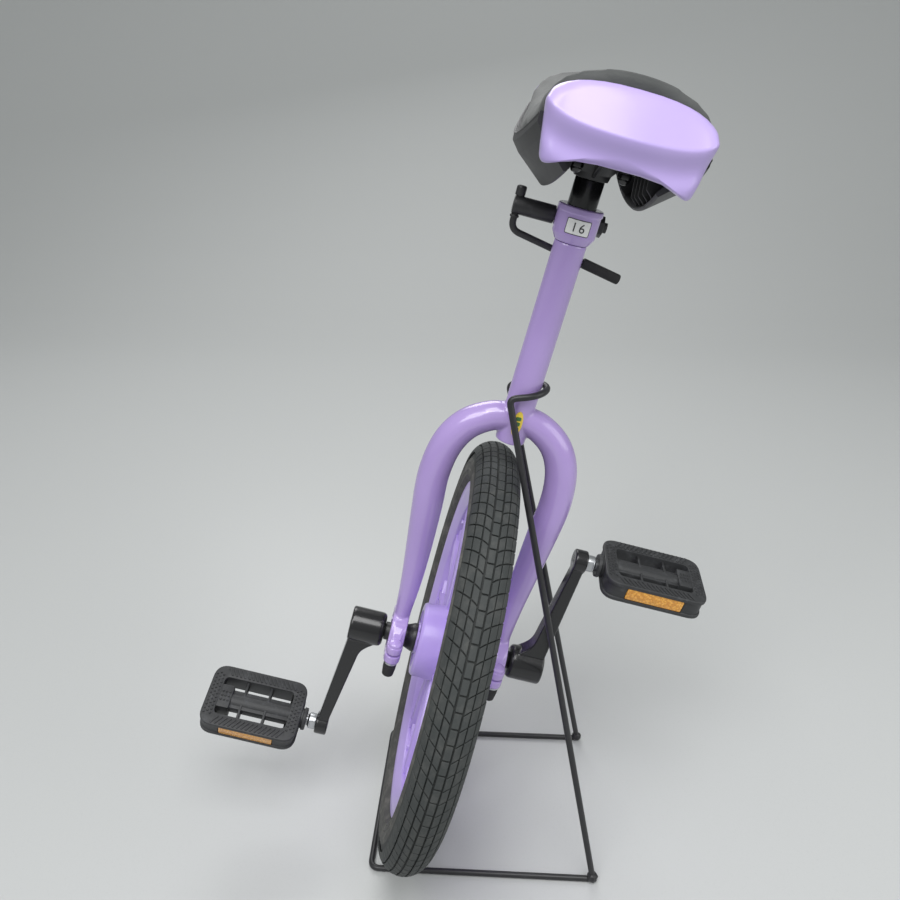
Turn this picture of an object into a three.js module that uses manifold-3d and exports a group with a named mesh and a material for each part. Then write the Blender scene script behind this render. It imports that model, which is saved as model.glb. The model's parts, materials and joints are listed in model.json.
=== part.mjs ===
// A sixteen inch unicycle leaning in its bent wire parking stand.
// Millimetres, +Z up, +X along the wheel's axle to the rider's right, +Y fore and aft.
// The unicycle is drawn upright about its axle and then leaned as one group. The stand stays on the floor.
import * as THREE from "three";
import Module from "manifold-3d";
import { mergeVertices } from "three/addons/utils/BufferGeometryUtils.js";

// ---------- driving dimensions ----------
const GAP = 0.3; // between pieces that touch
const QUARTER_CIRCLE = 0.552; // pull of a Bezier curve's handles that makes a quarter circle
const BEND_STEPS = 5; // steps of a sweep round each bend
const LEAN = THREE.MathUtils.degToRad(14.2); // of the unicycle, resting in the stand's hook
const CRANK_ANGLE = THREE.MathUtils.degToRad(8); // of the cranks from the line of the seat tube
const PEDAL_TILT_LEFT = THREE.MathUtils.degToRad(20);
const PEDAL_TILT_RIGHT = THREE.MathUtils.degToRad(7);

// wheel
const WHEEL_RADIUS = 200;
const TYRE_WIDTH = 42;
const TYRE_WALL = 4;
const BEAD_RADIUS = WHEEL_RADIUS - 47.2;
const RIM_INSIDE_WIDTH = 25.6;
const RIM_FLANGE = 2.7;
const RIM_FLANGE_HEIGHT = 5.5;
const RIM_DEPTH = 14.5;
const SPOKES = 6; // V shaped pairs of arms
const SPOKE_THICKNESS = 16;
const SPOKE_ARM = 9;
const HUB_RADIUS = 34;
const HUB_WIDTH = 60;
const VALVE_RADIUS = 3;
const VALVE_LENGTH = 34;
const AXLE_RADIUS = 8.5;
const AXLE_END_RADIUS = 6.3;

// bearings and their split housings at the fork ends
const BEARING_RADIUS = 20;
const BEARING_WIDTH = 12;
const BEARING_X = HUB_WIDTH / 2 + 18.5;
const HOUSING_WIDTH = 15;
const HOUSING_WALL = 3.6;
const EAR_THICKNESS = 8;
const EAR_BOLT_Y = 29;
const EAR_REACH = 7; // of an ear past its bolt
const SPLIT = 1.6; // between the housing's halves
const BOLT_RADIUS = 3;
const DOME_RADIUS = 6.5;
const DOME_HEIGHT = 4.5;
const TIP_RADIUS = 6;
const TIP_LENGTH = 14;

// frame
const TUBE_RADIUS = 12.7;
const TUBE_FOOT = WHEEL_RADIUS + 22; // height of the seat tube's lower end above the axle
const COLLAR_BASE = TUBE_FOOT + 169;
const COLLAR_HEIGHT = 27;
const COLLAR_RADIUS = TUBE_RADIUS + 4.8;
const LEG_CROWN_Z = TUBE_FOOT + 21; // height at which the fork legs' centre lines meet
const LEG_SHOULDER_X = BEARING_X + 6;
const LEG_CROWN_RADIUS = TUBE_RADIUS - 0.9; // where a leg meets the seat tube
const LEG_TOP_RADIUS = TUBE_RADIUS + 1.1;
const LEG_FOOT_RADIUS = 7.3;
const LEG_WALL = 2;
const LEG_FOOT_Z = BEARING_RADIUS + 10;

// seat post clamp
const POST_RADIUS = TUBE_RADIUS - 1.6;
const POST_WALL = 1.8;
const POST_BOTTOM = COLLAR_BASE - 91;
const POST_TOP = COLLAR_BASE + COLLAR_HEIGHT + 20;
const LUG_THICKNESS = 14;
const LUG_HEIGHT = 18;
const SLIT = 3;
const LABEL_WIDTH = 19;
const LABEL_HEIGHT = 11.5;
const LABEL_RISE = 8; // of its lower edge above the collar's
const BADGE_RISE = 20; // of its middle above the seat tube's foot
const BADGE_HALF_WIDTH = 4.5;
const BADGE_HALF_HEIGHT = 11;
const FILM = 0.5; // thickness of the label and the badge
const CLAMP_Y = COLLAR_RADIUS + 3.5;
const CLAMP_BOLT_RADIUS = 4;
const CLAMP_NUT_RADIUS = 8.5;
const CLAMP_NUT_WIDTH = 7;
const BARREL_RADIUS = 7;
const BARREL_LENGTH = 33;
const BAR_RADIUS = 2.6;
const BAR_X = -LUG_THICKNESS - BARREL_LENGTH + 1.5; // where the bar crosses the barrel
const BAR_RISE = 12; // of the bar's upper end above the barrel's axis
const BAR_DROP = 19; // of the bar's long arm below the barrel's axis
const BAR_ARM = 92;
const BAR_DROOP = THREE.MathUtils.degToRad(10);
const BAR_BEND = 8;
const GRIP_RADIUS = 4.1;
const GRIP_LENGTH = 32;

// cranks and pedals
const CRANK_LENGTH = 116;
const CRANK_BOSS_X = BEARING_X + 28.5;
const CRANK_BOSS_WIDTH = 33;
const CRANK_BOSS_RADIUS = 16;
const CRANK_EYE_X = CRANK_BOSS_X + 20;
const CRANK_EYE_WIDTH = 12;
const CRANK_EYE_RADIUS = 11;
const CRANK_DEPTH = 17;
const CRANK_ARM = 11;
const PEDAL_INNER_X = CRANK_EYE_X + 21;
const PEDAL_LENGTH = 94;
const PEDAL_DEPTH = 63;
const PEDAL_HEIGHT = 22;
const PEDAL_RAIL = 12;
const PEDAL_CORNER = 14;
const PEDAL_WINDOW_CORNER = 5;
const PEDAL_BARREL_RADIUS = 9;
const PEDAL_SPINDLE_RADIUS = 5;
const REFLECTOR_LENGTH = 52;
const REFLECTOR_HEIGHT = 12;
const REFLECTOR_THICKNESS = 2.4;

// saddle
const SADDLE_HALF_LENGTH = 104;
const SADDLE_HALF_WIDTH = 62.5;
const SADDLE_END_WIDTH = 0.865; // of the middle's width
const SADDLE_BEND = 20; // rise of the ends above the middle
const DECK_Z = POST_TOP + 18;
const DECK_THICKNESS = 4;
const PAD_THICKNESS = 40;
const PAD_WALL = 14; // height of its upright sides
const SKIRT_DROP = 30;
const SKIRT_FOOT_X = 35;
const SKIRT_WALL = 3;
const BUMPER_DEPTH = 24;
const BUMPER_DROP = 27; // of its feet below the deck
const BUMPER_HEIGHT = 52;
const BUMPER_TAPER = 0.1; // of its width, from root to face
const SCOOP_TILT = 0.85;
const PLATE_THICKNESS = 3;
const PLATE_LENGTH = 104;
const PLATE_WIDTH = 48;
const SADDLE_BOLT_X = 17;
const SADDLE_BOLT_Y = 40;
const SADDLE_NUT_RADIUS = 5;

// stand
const WIRE_RADIUS = 2.8;
const STAND_CLEARANCE = 2.1; // from the tyre's left side to the middle of the stand's left wire
const STAND_REACH = 76.3; // of the stand's right side beyond the tube in its hook
const STAND_FRONT = 107 - WHEEL_RADIUS;
const STAND_BACK = WHEEL_RADIUS - 112;
const STAND_BEND = 9;
const HOOK_ABOVE_FOOT = 45.65; // along the seat tube, from its foot to the hook
const HOOK_ARM = 13; // from the seat tube's centre to where the legs turn down
const HOOK_RISE = THREE.MathUtils.degToRad(6);
const HOOK_CLEARANCE = 0.5;
const WELD_RADIUS = 5.6;

// ---------- finishes ----------
const finish = (color, roughness, metalness = 0) => ({ color, roughness, metalness });
const LAVENDER = finish(0xb49bdc, 0.3, 0.1);
const LAVENDER_PLASTIC = finish(0xb7a2e6, 0.4);
const BLACK_GLOSS = finish(0x1b1b1e, 0.25, 0.2);
const BLACK_SATIN = finish(0x26262a, 0.5, 0.3);
const BLACK_PLASTIC = finish(0x2a2a2d, 0.6);
const BLACK_RUBBER = finish(0x222224, 0.85);
const TYRE_RUBBER = finish(0x4b5050, 0.9);
const COVER = finish(0x3c3f40, 0.75);
const BARE_STEEL = finish(0xb9bcc2, 0.3, 0.9);
const AMBER = finish(0xd09030, 0.25);
const LABEL_WHITE = finish(0xf0f0f0, 0.5);
const STICKER_YELLOW = finish(0xe2c040, 0.45);

// ---------- solids: joins, cuts and shapes ----------
const wasm = await Module();
wasm.setup();

function toSolid(geometry) {
  const bare = geometry.index ? geometry.toNonIndexed() : geometry.clone();
  bare.deleteAttribute("normal");
  bare.deleteAttribute("uv");
  const merged = mergeVertices(bare, 1e-4);
  const made = new wasm.Manifold(new wasm.Mesh({
    numProp: 3,
    vertProperties: merged.attributes.position.array,
    triVerts: new Uint32Array(merged.index.array),
  }));
  if (made.volume() >= 0) return made;
  return toSolid(turnedOut(merged));
}

// The same surface with every face turned round.
function turnedOut(geometry) {
  const flipped = geometry.clone();
  const corners = flipped.index.array;
  for (let i = 0; i < corners.length; i += 3) {
    [corners[i + 1], corners[i + 2]] = [corners[i + 2], corners[i + 1]];
  }
  return flipped;
}

function toGeometry(made) {
  const mesh = made.getMesh();
  const points = new Float32Array(mesh.numVert * 3);
  for (let i = 0; i < mesh.numVert; i++) {
    points.set(mesh.vertProperties.subarray(i * mesh.numProp, i * mesh.numProp + 3), i * 3);
  }
  const geometry = new THREE.BufferGeometry();
  geometry.setAttribute("position", new THREE.BufferAttribute(points, 3));
  geometry.setIndex(new THREE.BufferAttribute(new Uint32Array(mesh.triVerts), 1));
  return geometry;
}

const join = (...parts) => toGeometry(parts.map(toSolid).reduce((sum, part) => sum.add(part)));
const cut = (body, ...tools) =>
  toGeometry(tools.map(toSolid).reduce((rest, tool) => rest.subtract(tool), toSolid(body)));
const overlap = (a, b) => toGeometry(toSolid(a).intersect(toSolid(b)));

// A cylinder along an axis, from low to high on it, about the point (a, b) of the other two axes.
function rod(axis, radius, low, high, a = 0, b = 0, sides = 20) {
  const geometry = new THREE.CylinderGeometry(radius, radius, high - low, sides);
  const middle = (low + high) / 2;
  if (axis === "x") return geometry.rotateZ(-Math.PI / 2).translate(middle, a, b);
  if (axis === "z") return geometry.rotateX(Math.PI / 2).translate(a, b, middle);
  return geometry.translate(a, middle, b);
}

function box(x0, x1, y0, y1, z0, z1) {
  return new THREE.BoxGeometry(x1 - x0, y1 - y0, z1 - z0)
    .translate((x0 + x1) / 2, (y0 + y1) / 2, (z0 + z1) / 2);
}

// Turned about the X axis: the profile lists [radius, x] points.
function turnedOnX(profile, segments = 40) {
  const points = profile.map(([radius, x]) => new THREE.Vector2(radius, x));
  return new THREE.LatheGeometry(points, segments).rotateZ(-Math.PI / 2);
}

// Turned about the Z axis: the profile lists [radius, z] points.
function turnedOnZ(profile, segments = 24) {
  const points = profile.map(([radius, z]) => new THREE.Vector2(radius, z));
  return new THREE.LatheGeometry(points, segments).rotateX(Math.PI / 2);
}

function outline(points) {
  return new THREE.Shape(points.map(([a, b]) => new THREE.Vector2(a, b)));
}

// An outline in the YZ plane, drawn out along X between two planes.
function drawnAlongX(shape, low, high, curveSegments = 10) {
  return new THREE.ExtrudeGeometry(shape, { depth: high - low, bevelEnabled: false, curveSegments })
    .applyMatrix4(new THREE.Matrix4().set(0, 0, 1, low, 1, 0, 0, 0, 0, 1, 0, 0, 0, 0, 0, 1));
}

// An outline in the XZ plane, drawn out along Y between two planes.
function drawnAlongY(shape, low, high, steps = 1, curveSegments = 10) {
  return new THREE.ExtrudeGeometry(shape, { depth: high - low, steps, bevelEnabled: false, curveSegments })
    .applyMatrix4(new THREE.Matrix4().set(1, 0, 0, 0, 0, 0, -1, high, 0, 1, 0, 0, 0, 0, 0, 1));
}

// A round bar along a curve. Its flats face up and down where the curve lies level.
function barAlong(curve, radius, steps, sides = 8) {
  const section = new THREE.Shape();
  for (let i = 0; i < sides; i++) {
    const angle = (2 * Math.PI * (i + 0.5)) / sides;
    const reach = radius / Math.cos(Math.PI / sides);
    const point = [reach * Math.cos(angle), reach * Math.sin(angle)];
    if (i) section.lineTo(...point);
    else section.moveTo(...point);
  }
  return new THREE.ExtrudeGeometry(section, { steps, bevelEnabled: false, extrudePath: curve });
}

// A path of straight and bent stretches: a sweep takes one step along a straight one, several round a bend.
class BentPath extends THREE.CurvePath {
  stations() {
    const list = [[this.curves[0], 0]];
    for (const curve of this.curves) {
      const steps = curve.isLineCurve3 ? 1 : BEND_STEPS;
      for (let i = 1; i <= steps; i++) list.push([curve, i / steps]);
    }
    return list;
  }
  get steps() {
    return this.stations().length - 1;
  }
  getPoint(u) {
    const [curve, t] = this.stations()[Math.round(u * this.steps)];
    return curve.getPoint(t);
  }
  getTangentAt(u) {
    const [curve, t] = this.stations()[Math.round(u * this.steps)];
    return curve.getTangent(t);
  }
}

// A curve through corner points, each corner rounded to the bend radius.
function bentPath(points, bend) {
  const path = new BentPath();
  let from = points[0];
  for (let i = 1; i < points.length - 1; i++) {
    const back = points[i - 1].clone().sub(points[i]).normalize();
    const on = points[i + 1].clone().sub(points[i]).normalize();
    const reach = bend / Math.tan(back.angleTo(on) / 2);
    const start = points[i].clone().addScaledVector(back, reach);
    const end = points[i].clone().addScaledVector(on, reach);
    path.add(new THREE.LineCurve3(from, start));
    path.add(new THREE.QuadraticBezierCurve3(start, points[i], end));
    from = end;
  }
  path.add(new THREE.LineCurve3(from, points[points.length - 1]));
  return path;
}

// A sleeve wrapped part of the way round the Z axis: the outline is in XZ, seen from -Y.
function wrapped(shape, inside, outside) {
  const ring = turnedOnZ([
    [inside, -1000], [outside, -1000], [outside, 1000], [inside, 1000], [inside, -1000],
  ], 48);
  return overlap(ring, drawnAlongY(shape, -outside - 1, 0));
}

const unicycle = new THREE.Group();
const stand = new THREE.Group();

function place(group, name, geometry, look) {
  const mesh = new THREE.Mesh(geometry, new THREE.MeshStandardMaterial(look));
  mesh.name = name;
  group.add(mesh);
  return mesh;
}

const SIDES = [["left", -1], ["right", 1]];
const ENDS = [["front", -1], ["back", 1]];
const mirrored = (geometry, side) => (side < 0 ? join(geometry.clone().scale(-1, 1, 1)) : geometry);

// ---------- wheel ----------
const TYRE_RADIUS = TYRE_WIDTH / 2;
const TYRE_CENTRE = WHEEL_RADIUS - TYRE_RADIUS;
const TUBE_FILL = TYRE_RADIUS - TYRE_WALL - 1.6; // radius of the inner tube when blown up
const RIM_HALF = RIM_INSIDE_WIDTH / 2;
const RIM_BED = BEAD_RADIUS - GAP;
const RIM_INSIDE = RIM_BED - RIM_DEPTH;

function arcPoints(radius, from, to, count) {
  const points = [];
  for (let i = 0; i <= count; i++) {
    const angle = from + ((to - from) * i) / count;
    points.push([TYRE_CENTRE + radius * Math.cos(angle), radius * Math.sin(angle)]);
  }
  return points;
}

function tyre() {
  const reach = THREE.MathUtils.degToRad(125);
  const bead = RIM_HALF - GAP;
  const profile = [
    ...arcPoints(TYRE_RADIUS, -reach, reach, 12),
    [BEAD_RADIUS + RIM_FLANGE_HEIGHT + 1, bead],
    [BEAD_RADIUS, bead],
    [BEAD_RADIUS, bead - TYRE_WALL],
    ...arcPoints(TYRE_RADIUS - TYRE_WALL, reach, -reach, 6),
    [BEAD_RADIUS, TYRE_WALL - bead],
    [BEAD_RADIUS, -bead],
    [BEAD_RADIUS + RIM_FLANGE_HEIGHT + 1, -bead],
  ];
  return turnedOnX([...profile, profile[0]], 48);
}

function innerTube() {
  const profile = arcPoints(TUBE_FILL, -Math.PI, Math.PI, 10);
  return turnedOnX([...profile.slice(0, -1), profile[0]], 36);
}

function rimRing() {
  const edge = RIM_HALF + RIM_FLANGE;
  const profile = [
    [RIM_BED, -RIM_HALF], [RIM_BED + RIM_FLANGE_HEIGHT, -RIM_HALF], [RIM_BED + RIM_FLANGE_HEIGHT, -edge],
    [RIM_BED - 5, -edge], [RIM_INSIDE, -SPOKE_THICKNESS / 2 - 2], [RIM_INSIDE, SPOKE_THICKNESS / 2 + 2],
    [RIM_BED - 5, edge], [RIM_BED + RIM_FLANGE_HEIGHT, edge], [RIM_BED + RIM_FLANGE_HEIGHT, RIM_HALF],
    [RIM_BED, RIM_HALF], [RIM_BED, -RIM_HALF],
  ];
  return turnedOnX(profile, 48);
}

// The spokes are a disc with a window inside each V and one between each V and the next.
function spokeDisc() {
  const disc = new THREE.Shape();
  const quarters = 2 * SPOKES;
  for (let i = 0; i < quarters; i++) {
    disc.absarc(0, 0, RIM_INSIDE + 3, (2 * Math.PI * i) / quarters, (2 * Math.PI * (i + 1)) / quarters);
  }
  const at = (radius, angle) => new THREE.Vector2(radius * Math.cos(angle), radius * Math.sin(angle));
  const pitch = (2 * Math.PI) / SPOKES;
  const half = SPOKE_ARM / 2;
  const rim = RIM_INSIDE - 3;
  const spread = pitch * 0.27; // half the angle between a V's arms at the rim
  for (let i = 0; i < SPOKES; i++) {
    const middle = i * pitch;
    const inside = new THREE.Path();
    const apex = HUB_RADIUS + 20;
    const innerSpread = spread - half / rim;
    inside.moveTo(...at(apex, middle).toArray());
    inside.lineTo(...at(rim, middle - innerSpread).toArray());
    inside.absarc(0, 0, rim, middle - innerSpread, middle + innerSpread, false);
    disc.holes.push(inside);
    const between = new THREE.Path();
    const gapMiddle = middle + pitch / 2;
    const outerSpread = pitch / 2 - spread - half / rim;
    const rootSpread = pitch / 2 - half / (HUB_RADIUS + 5) - 0.12;
    between.moveTo(...at(HUB_RADIUS + 5, gapMiddle - rootSpread).toArray());
    between.lineTo(...at(rim, gapMiddle - outerSpread).toArray());
    between.absarc(0, 0, rim, gapMiddle - outerSpread, gapMiddle + outerSpread, false);
    between.lineTo(...at(HUB_RADIUS + 5, gapMiddle + rootSpread).toArray());
    disc.holes.push(between);
  }
  return drawnAlongX(disc, -SPOKE_THICKNESS / 2, SPOKE_THICKNESS / 2, 2);
}

const VALVE_ANGLE = Math.PI / SPOKES; // halfway between two spokes
const valveHole = (radius) =>
  rod("y", radius, RIM_INSIDE - VALVE_LENGTH, TYRE_CENTRE, 0, 0, 12).rotateX(VALVE_ANGLE);

function mouldedWheel() {
  const half = HUB_WIDTH / 2;
  const hub = turnedOnX([
    [0, -half], [HUB_RADIUS - 3, -half], [HUB_RADIUS, -half + 3], [HUB_RADIUS + 2, 0],
    [HUB_RADIUS, half - 3], [HUB_RADIUS - 3, half], [0, half],
  ], 28);
  const bore = rod("x", AXLE_RADIUS + GAP, -half - 1, half + 1, 0, 0, 20);
  return cut(join(rimRing(), spokeDisc(), hub), bore, valveHole(VALVE_RADIUS + GAP));
}

function valve() {
  const top = TYRE_CENTRE - TUBE_FILL - GAP;
  const low = RIM_INSIDE - VALVE_LENGTH;
  const stem = rod("y", VALVE_RADIUS, low + 8, top, 0, 0, 12);
  const cap = rod("y", VALVE_RADIUS + 0.9, low, low + 12, 0, 0, 12);
  return join(stem, cap).rotateX(VALVE_ANGLE);
}

const CRANK_INNER_X = CRANK_BOSS_X - CRANK_BOSS_WIDTH / 2;
const CRANK_OUTER_X = CRANK_BOSS_X + CRANK_BOSS_WIDTH / 2;
const CAP_DEPTH = 5;

function axle() {
  const shoulder = CRANK_INNER_X - GAP;
  const tip = CRANK_OUTER_X - CAP_DEPTH - 2;
  return turnedOnX([
    [0, -tip], [AXLE_END_RADIUS, -tip], [AXLE_END_RADIUS, -shoulder], [AXLE_RADIUS, -shoulder],
    [AXLE_RADIUS, shoulder], [AXLE_END_RADIUS, shoulder], [AXLE_END_RADIUS, tip], [0, tip],
  ], 20);
}

// ---------- cranks and pedals, drawn on the right with the crank along +Z ----------
function crank() {
  const soft = 5;
  const boss = turnedOnX([
    [0, CRANK_INNER_X], [CRANK_BOSS_RADIUS - soft, CRANK_INNER_X],
    [CRANK_BOSS_RADIUS - 1.5, CRANK_INNER_X + 1.5], [CRANK_BOSS_RADIUS, CRANK_INNER_X + soft],
    [CRANK_BOSS_RADIUS, CRANK_OUTER_X - soft], [CRANK_BOSS_RADIUS - 1.5, CRANK_OUTER_X - 1.5],
    [CRANK_BOSS_RADIUS - soft, CRANK_OUTER_X], [0, CRANK_OUTER_X],
  ], 22);
  const eyeIn = CRANK_EYE_X - CRANK_EYE_WIDTH / 2;
  const eyeOut = CRANK_EYE_X + CRANK_EYE_WIDTH / 2;
  const root = CRANK_INNER_X + 4;
  const arm = new THREE.Shape();
  arm.moveTo(CRANK_OUTER_X - 2, 0);
  arm.lineTo(eyeOut, CRANK_LENGTH);
  arm.lineTo(eyeOut - CRANK_ARM, CRANK_LENGTH);
  arm.lineTo(CRANK_OUTER_X - CRANK_ARM + 1, CRANK_BOSS_RADIUS + 20);
  arm.quadraticCurveTo(CRANK_OUTER_X - CRANK_ARM - 1, CRANK_BOSS_RADIUS + 4, root, CRANK_BOSS_RADIUS - 3);
  arm.lineTo(root, 0);
  const web = drawnAlongY(arm, -CRANK_DEPTH / 2, CRANK_DEPTH / 2);
  const eye = rod("x", CRANK_EYE_RADIUS, eyeIn, eyeOut, 0, CRANK_LENGTH, 20);
  const threads = rod("x", PEDAL_SPINDLE_RADIUS + GAP, eyeIn - 1, eyeOut + 1, 0, CRANK_LENGTH, 12);
  const bore = rod("x", AXLE_END_RADIUS + GAP, 0, CRANK_OUTER_X - CAP_DEPTH - 1, 0, 0, 20);
  const recess = rod("x", CRANK_BOSS_RADIUS - 5, CRANK_OUTER_X - CAP_DEPTH, CRANK_OUTER_X + 5, 0, 0, 20);
  return cut(join(boss, web, eye), threads, bore, recess);
}

const PEDAL_OUTER_X = PEDAL_INNER_X + PEDAL_LENGTH;

function crankCap() {
  const radius = CRANK_BOSS_RADIUS - 5 - GAP;
  const low = CRANK_OUTER_X - CAP_DEPTH + GAP;
  return turnedOnX([[0, low], [radius, low], [radius, low + 3], [radius - 3, low + 5], [0, low + 5.6]], 20);
}

function pedalSpindle() {
  const start = CRANK_EYE_X - CRANK_EYE_WIDTH / 2;
  const face = CRANK_EYE_X + CRANK_EYE_WIDTH / 2 + GAP;
  return turnedOnX([
    [0, start], [PEDAL_SPINDLE_RADIUS, start], [PEDAL_SPINDLE_RADIUS, face], [7, face], [7, face + 6],
    [PEDAL_SPINDLE_RADIUS, face + 8], [PEDAL_SPINDLE_RADIUS, PEDAL_OUTER_X - 13], [0, PEDAL_OUTER_X - 13],
  ], 12).translate(0, 0, CRANK_LENGTH);
}

// A rounded rectangle in the XY plane.
function roundedFrame(x0, x1, half, radius) {
  const shape = new THREE.Shape();
  shape.moveTo(x0 + radius, -half);
  shape.lineTo(x1 - radius, -half);
  shape.absarc(x1 - radius, -half + radius, radius, -Math.PI / 2, 0);
  shape.lineTo(x1, half - radius);
  shape.absarc(x1 - radius, half - radius, radius, 0, Math.PI / 2);
  shape.lineTo(x0 + radius, half);
  shape.absarc(x0 + radius, half - radius, radius, Math.PI / 2, Math.PI);
  shape.lineTo(x0, -half + radius);
  shape.absarc(x0 + radius, -half + radius, radius, Math.PI, 1.5 * Math.PI);
  return shape;
}

// The pedal is drawn level about its spindle's axis.
function pedalBody() {
  const half = PEDAL_DEPTH / 2;
  const high = PEDAL_HEIGHT / 2;
  const rail = PEDAL_RAIL;
  const shell = roundedFrame(PEDAL_INNER_X, PEDAL_OUTER_X, half, PEDAL_CORNER);
  const [low, top] = [PEDAL_INNER_X + rail, PEDAL_OUTER_X - rail];
  shell.holes.push(roundedFrame(low, top, half - rail, PEDAL_WINDOW_CORNER));
  const settings = { depth: PEDAL_HEIGHT, bevelEnabled: false, curveSegments: 3 };
  const frame = new THREE.ExtrudeGeometry(shell, settings).translate(0, 0, -high);
  const barrel = rod("x", PEDAL_BARREL_RADIUS, PEDAL_INNER_X + 2, PEDAL_OUTER_X - 2, 0, 0, 16);
  const ribs = [1, 2].map((n) => {
    const x = PEDAL_INNER_X + rail + (n * (PEDAL_LENGTH - 2 * rail)) / 3;
    return box(x - 1.5, x + 1.5, -half + 2, half - 2, -high + 4, high - 4);
  });
  const block = box(PEDAL_OUTER_X - rail - 11, PEDAL_OUTER_X - 4, -11, 11, -high + 1, high - 1);
  const nose = rod("x", PEDAL_BARREL_RADIUS + 1.5, PEDAL_INNER_X - 5, PEDAL_INNER_X + 4, 0, 0, 16);
  const pockets = ENDS.map(([, end]) => {
    const inner = end * (half - REFLECTOR_THICKNESS - GAP);
    const outer = end * (half + 1);
    const middle = (PEDAL_INNER_X + PEDAL_OUTER_X) / 2;
    const reach = REFLECTOR_LENGTH / 2 + GAP;
    const tall = REFLECTOR_HEIGHT / 2 + GAP;
    return box(middle - reach, middle + reach, Math.min(outer, inner), Math.max(outer, inner), -tall, tall);
  });
  const bore = rod("x", PEDAL_SPINDLE_RADIUS + GAP, PEDAL_INNER_X - 6, PEDAL_OUTER_X - 12 + GAP, 0, 0, 12);
  const capSeat = rod("x", PEDAL_BARREL_RADIUS - 1.5, PEDAL_OUTER_X - 12, PEDAL_OUTER_X + 1, 0, 0, 16);
  return cut(join(frame, barrel, ...ribs, block, nose), ...pockets, bore, capSeat);
}

function reflector(end) {
  const middle = (PEDAL_INNER_X + PEDAL_OUTER_X) / 2;
  const face = (end * PEDAL_DEPTH) / 2;
  const inner = face - end * REFLECTOR_THICKNESS;
  return box(middle - REFLECTOR_LENGTH / 2, middle + REFLECTOR_LENGTH / 2,
    Math.min(face, inner), Math.max(face, inner), -REFLECTOR_HEIGHT / 2, REFLECTOR_HEIGHT / 2);
}

function pedalCap() {
  const radius = PEDAL_BARREL_RADIUS - 1.5 - GAP;
  return turnedOnX([
    [0, PEDAL_OUTER_X - 11], [radius, PEDAL_OUTER_X - 11], [radius, PEDAL_OUTER_X - 1], [0, PEDAL_OUTER_X],
  ], 16);
}

function buildWheel() {
  place(unicycle, "tyre", tyre(), TYRE_RUBBER);
  place(unicycle, "inner_tube", innerTube(), BLACK_RUBBER);
  place(unicycle, "wheel", mouldedWheel(), LAVENDER_PLASTIC);
  place(unicycle, "valve_stem", valve(), BLACK_RUBBER);
  place(unicycle, "axle", axle(), BLACK_SATIN);
  for (const [name, side] of SIDES) {
    const from = HUB_WIDTH / 2 + GAP;
    const to = BEARING_X - BEARING_WIDTH / 2 - GAP;
    const sleeve = turnedOnX([
      [AXLE_RADIUS + GAP, from], [AXLE_RADIUS + 2.2, from], [AXLE_RADIUS + 2.2, to], [AXLE_RADIUS + GAP, to],
      [AXLE_RADIUS + GAP, from],
    ], 20);
    place(unicycle, `axle_spacer_${name}`, mirrored(sleeve, side), BLACK_SATIN);
    // the left crank points down when the right one points up
    const arm = new THREE.Group();
    arm.rotation.x = side > 0 ? -CRANK_ANGLE : Math.PI - CRANK_ANGLE;
    place(arm, `crank_${name}`, mirrored(crank(), side), BLACK_GLOSS);
    place(arm, `crank_cap_${name}`, mirrored(crankCap(), side), BLACK_PLASTIC);
    place(arm, `pedal_spindle_${name}`, mirrored(pedalSpindle(), side), BARE_STEEL);
    unicycle.add(arm);
    const pedal = new THREE.Group();
    const turn = side > 0 ? 1 : -1;
    pedal.position.set(0, Math.sin(CRANK_ANGLE), Math.cos(CRANK_ANGLE)).multiplyScalar(turn * CRANK_LENGTH);
    pedal.rotation.x = side > 0 ? PEDAL_TILT_RIGHT : PEDAL_TILT_LEFT;
    place(pedal, `pedal_${name}`, mirrored(pedalBody(), side), BLACK_PLASTIC);
    place(pedal, `pedal_cap_${name}`, mirrored(pedalCap(), side), BLACK_GLOSS);
    for (const [where, end] of ENDS) {
      place(pedal, `reflector_${name}_${where}`, mirrored(reflector(end), side), AMBER);
    }
    unicycle.add(pedal);
  }
}

// ---------- frame ----------
const HOUSING_BORE = BEARING_RADIUS + GAP;
const HOUSING_RADIUS = BEARING_RADIUS + HOUSING_WALL;
const EAR_END = EAR_BOLT_Y + EAR_REACH;
const EAR_ROOT = EAR_BOLT_Y - DOME_RADIUS - 0.5;

function bearingSeat() {
  const low = SPLIT / 2;
  const neck = LEG_FOOT_RADIUS + 1;
  const top = LEG_FOOT_Z - GAP;
  const start = Math.asin(low / HOUSING_BORE);
  const shape = new THREE.Shape();
  shape.moveTo(EAR_END, low);
  shape.lineTo(EAR_END, low + EAR_THICKNESS);
  shape.lineTo(EAR_ROOT, low + EAR_THICKNESS);
  shape.quadraticCurveTo(neck + 3.5, HOUSING_RADIUS - 3.5, neck, top);
  shape.lineTo(-neck, top);
  shape.quadraticCurveTo(-neck - 3.5, HOUSING_RADIUS - 3.5, -EAR_ROOT, low + EAR_THICKNESS);
  shape.lineTo(-EAR_END, low + EAR_THICKNESS);
  shape.lineTo(-EAR_END, low);
  shape.lineTo(-HOUSING_BORE * Math.cos(start), low);
  shape.absarc(0, 0, HOUSING_BORE, Math.PI - start, start, true);
  return boltedHousing(shape);
}

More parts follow.
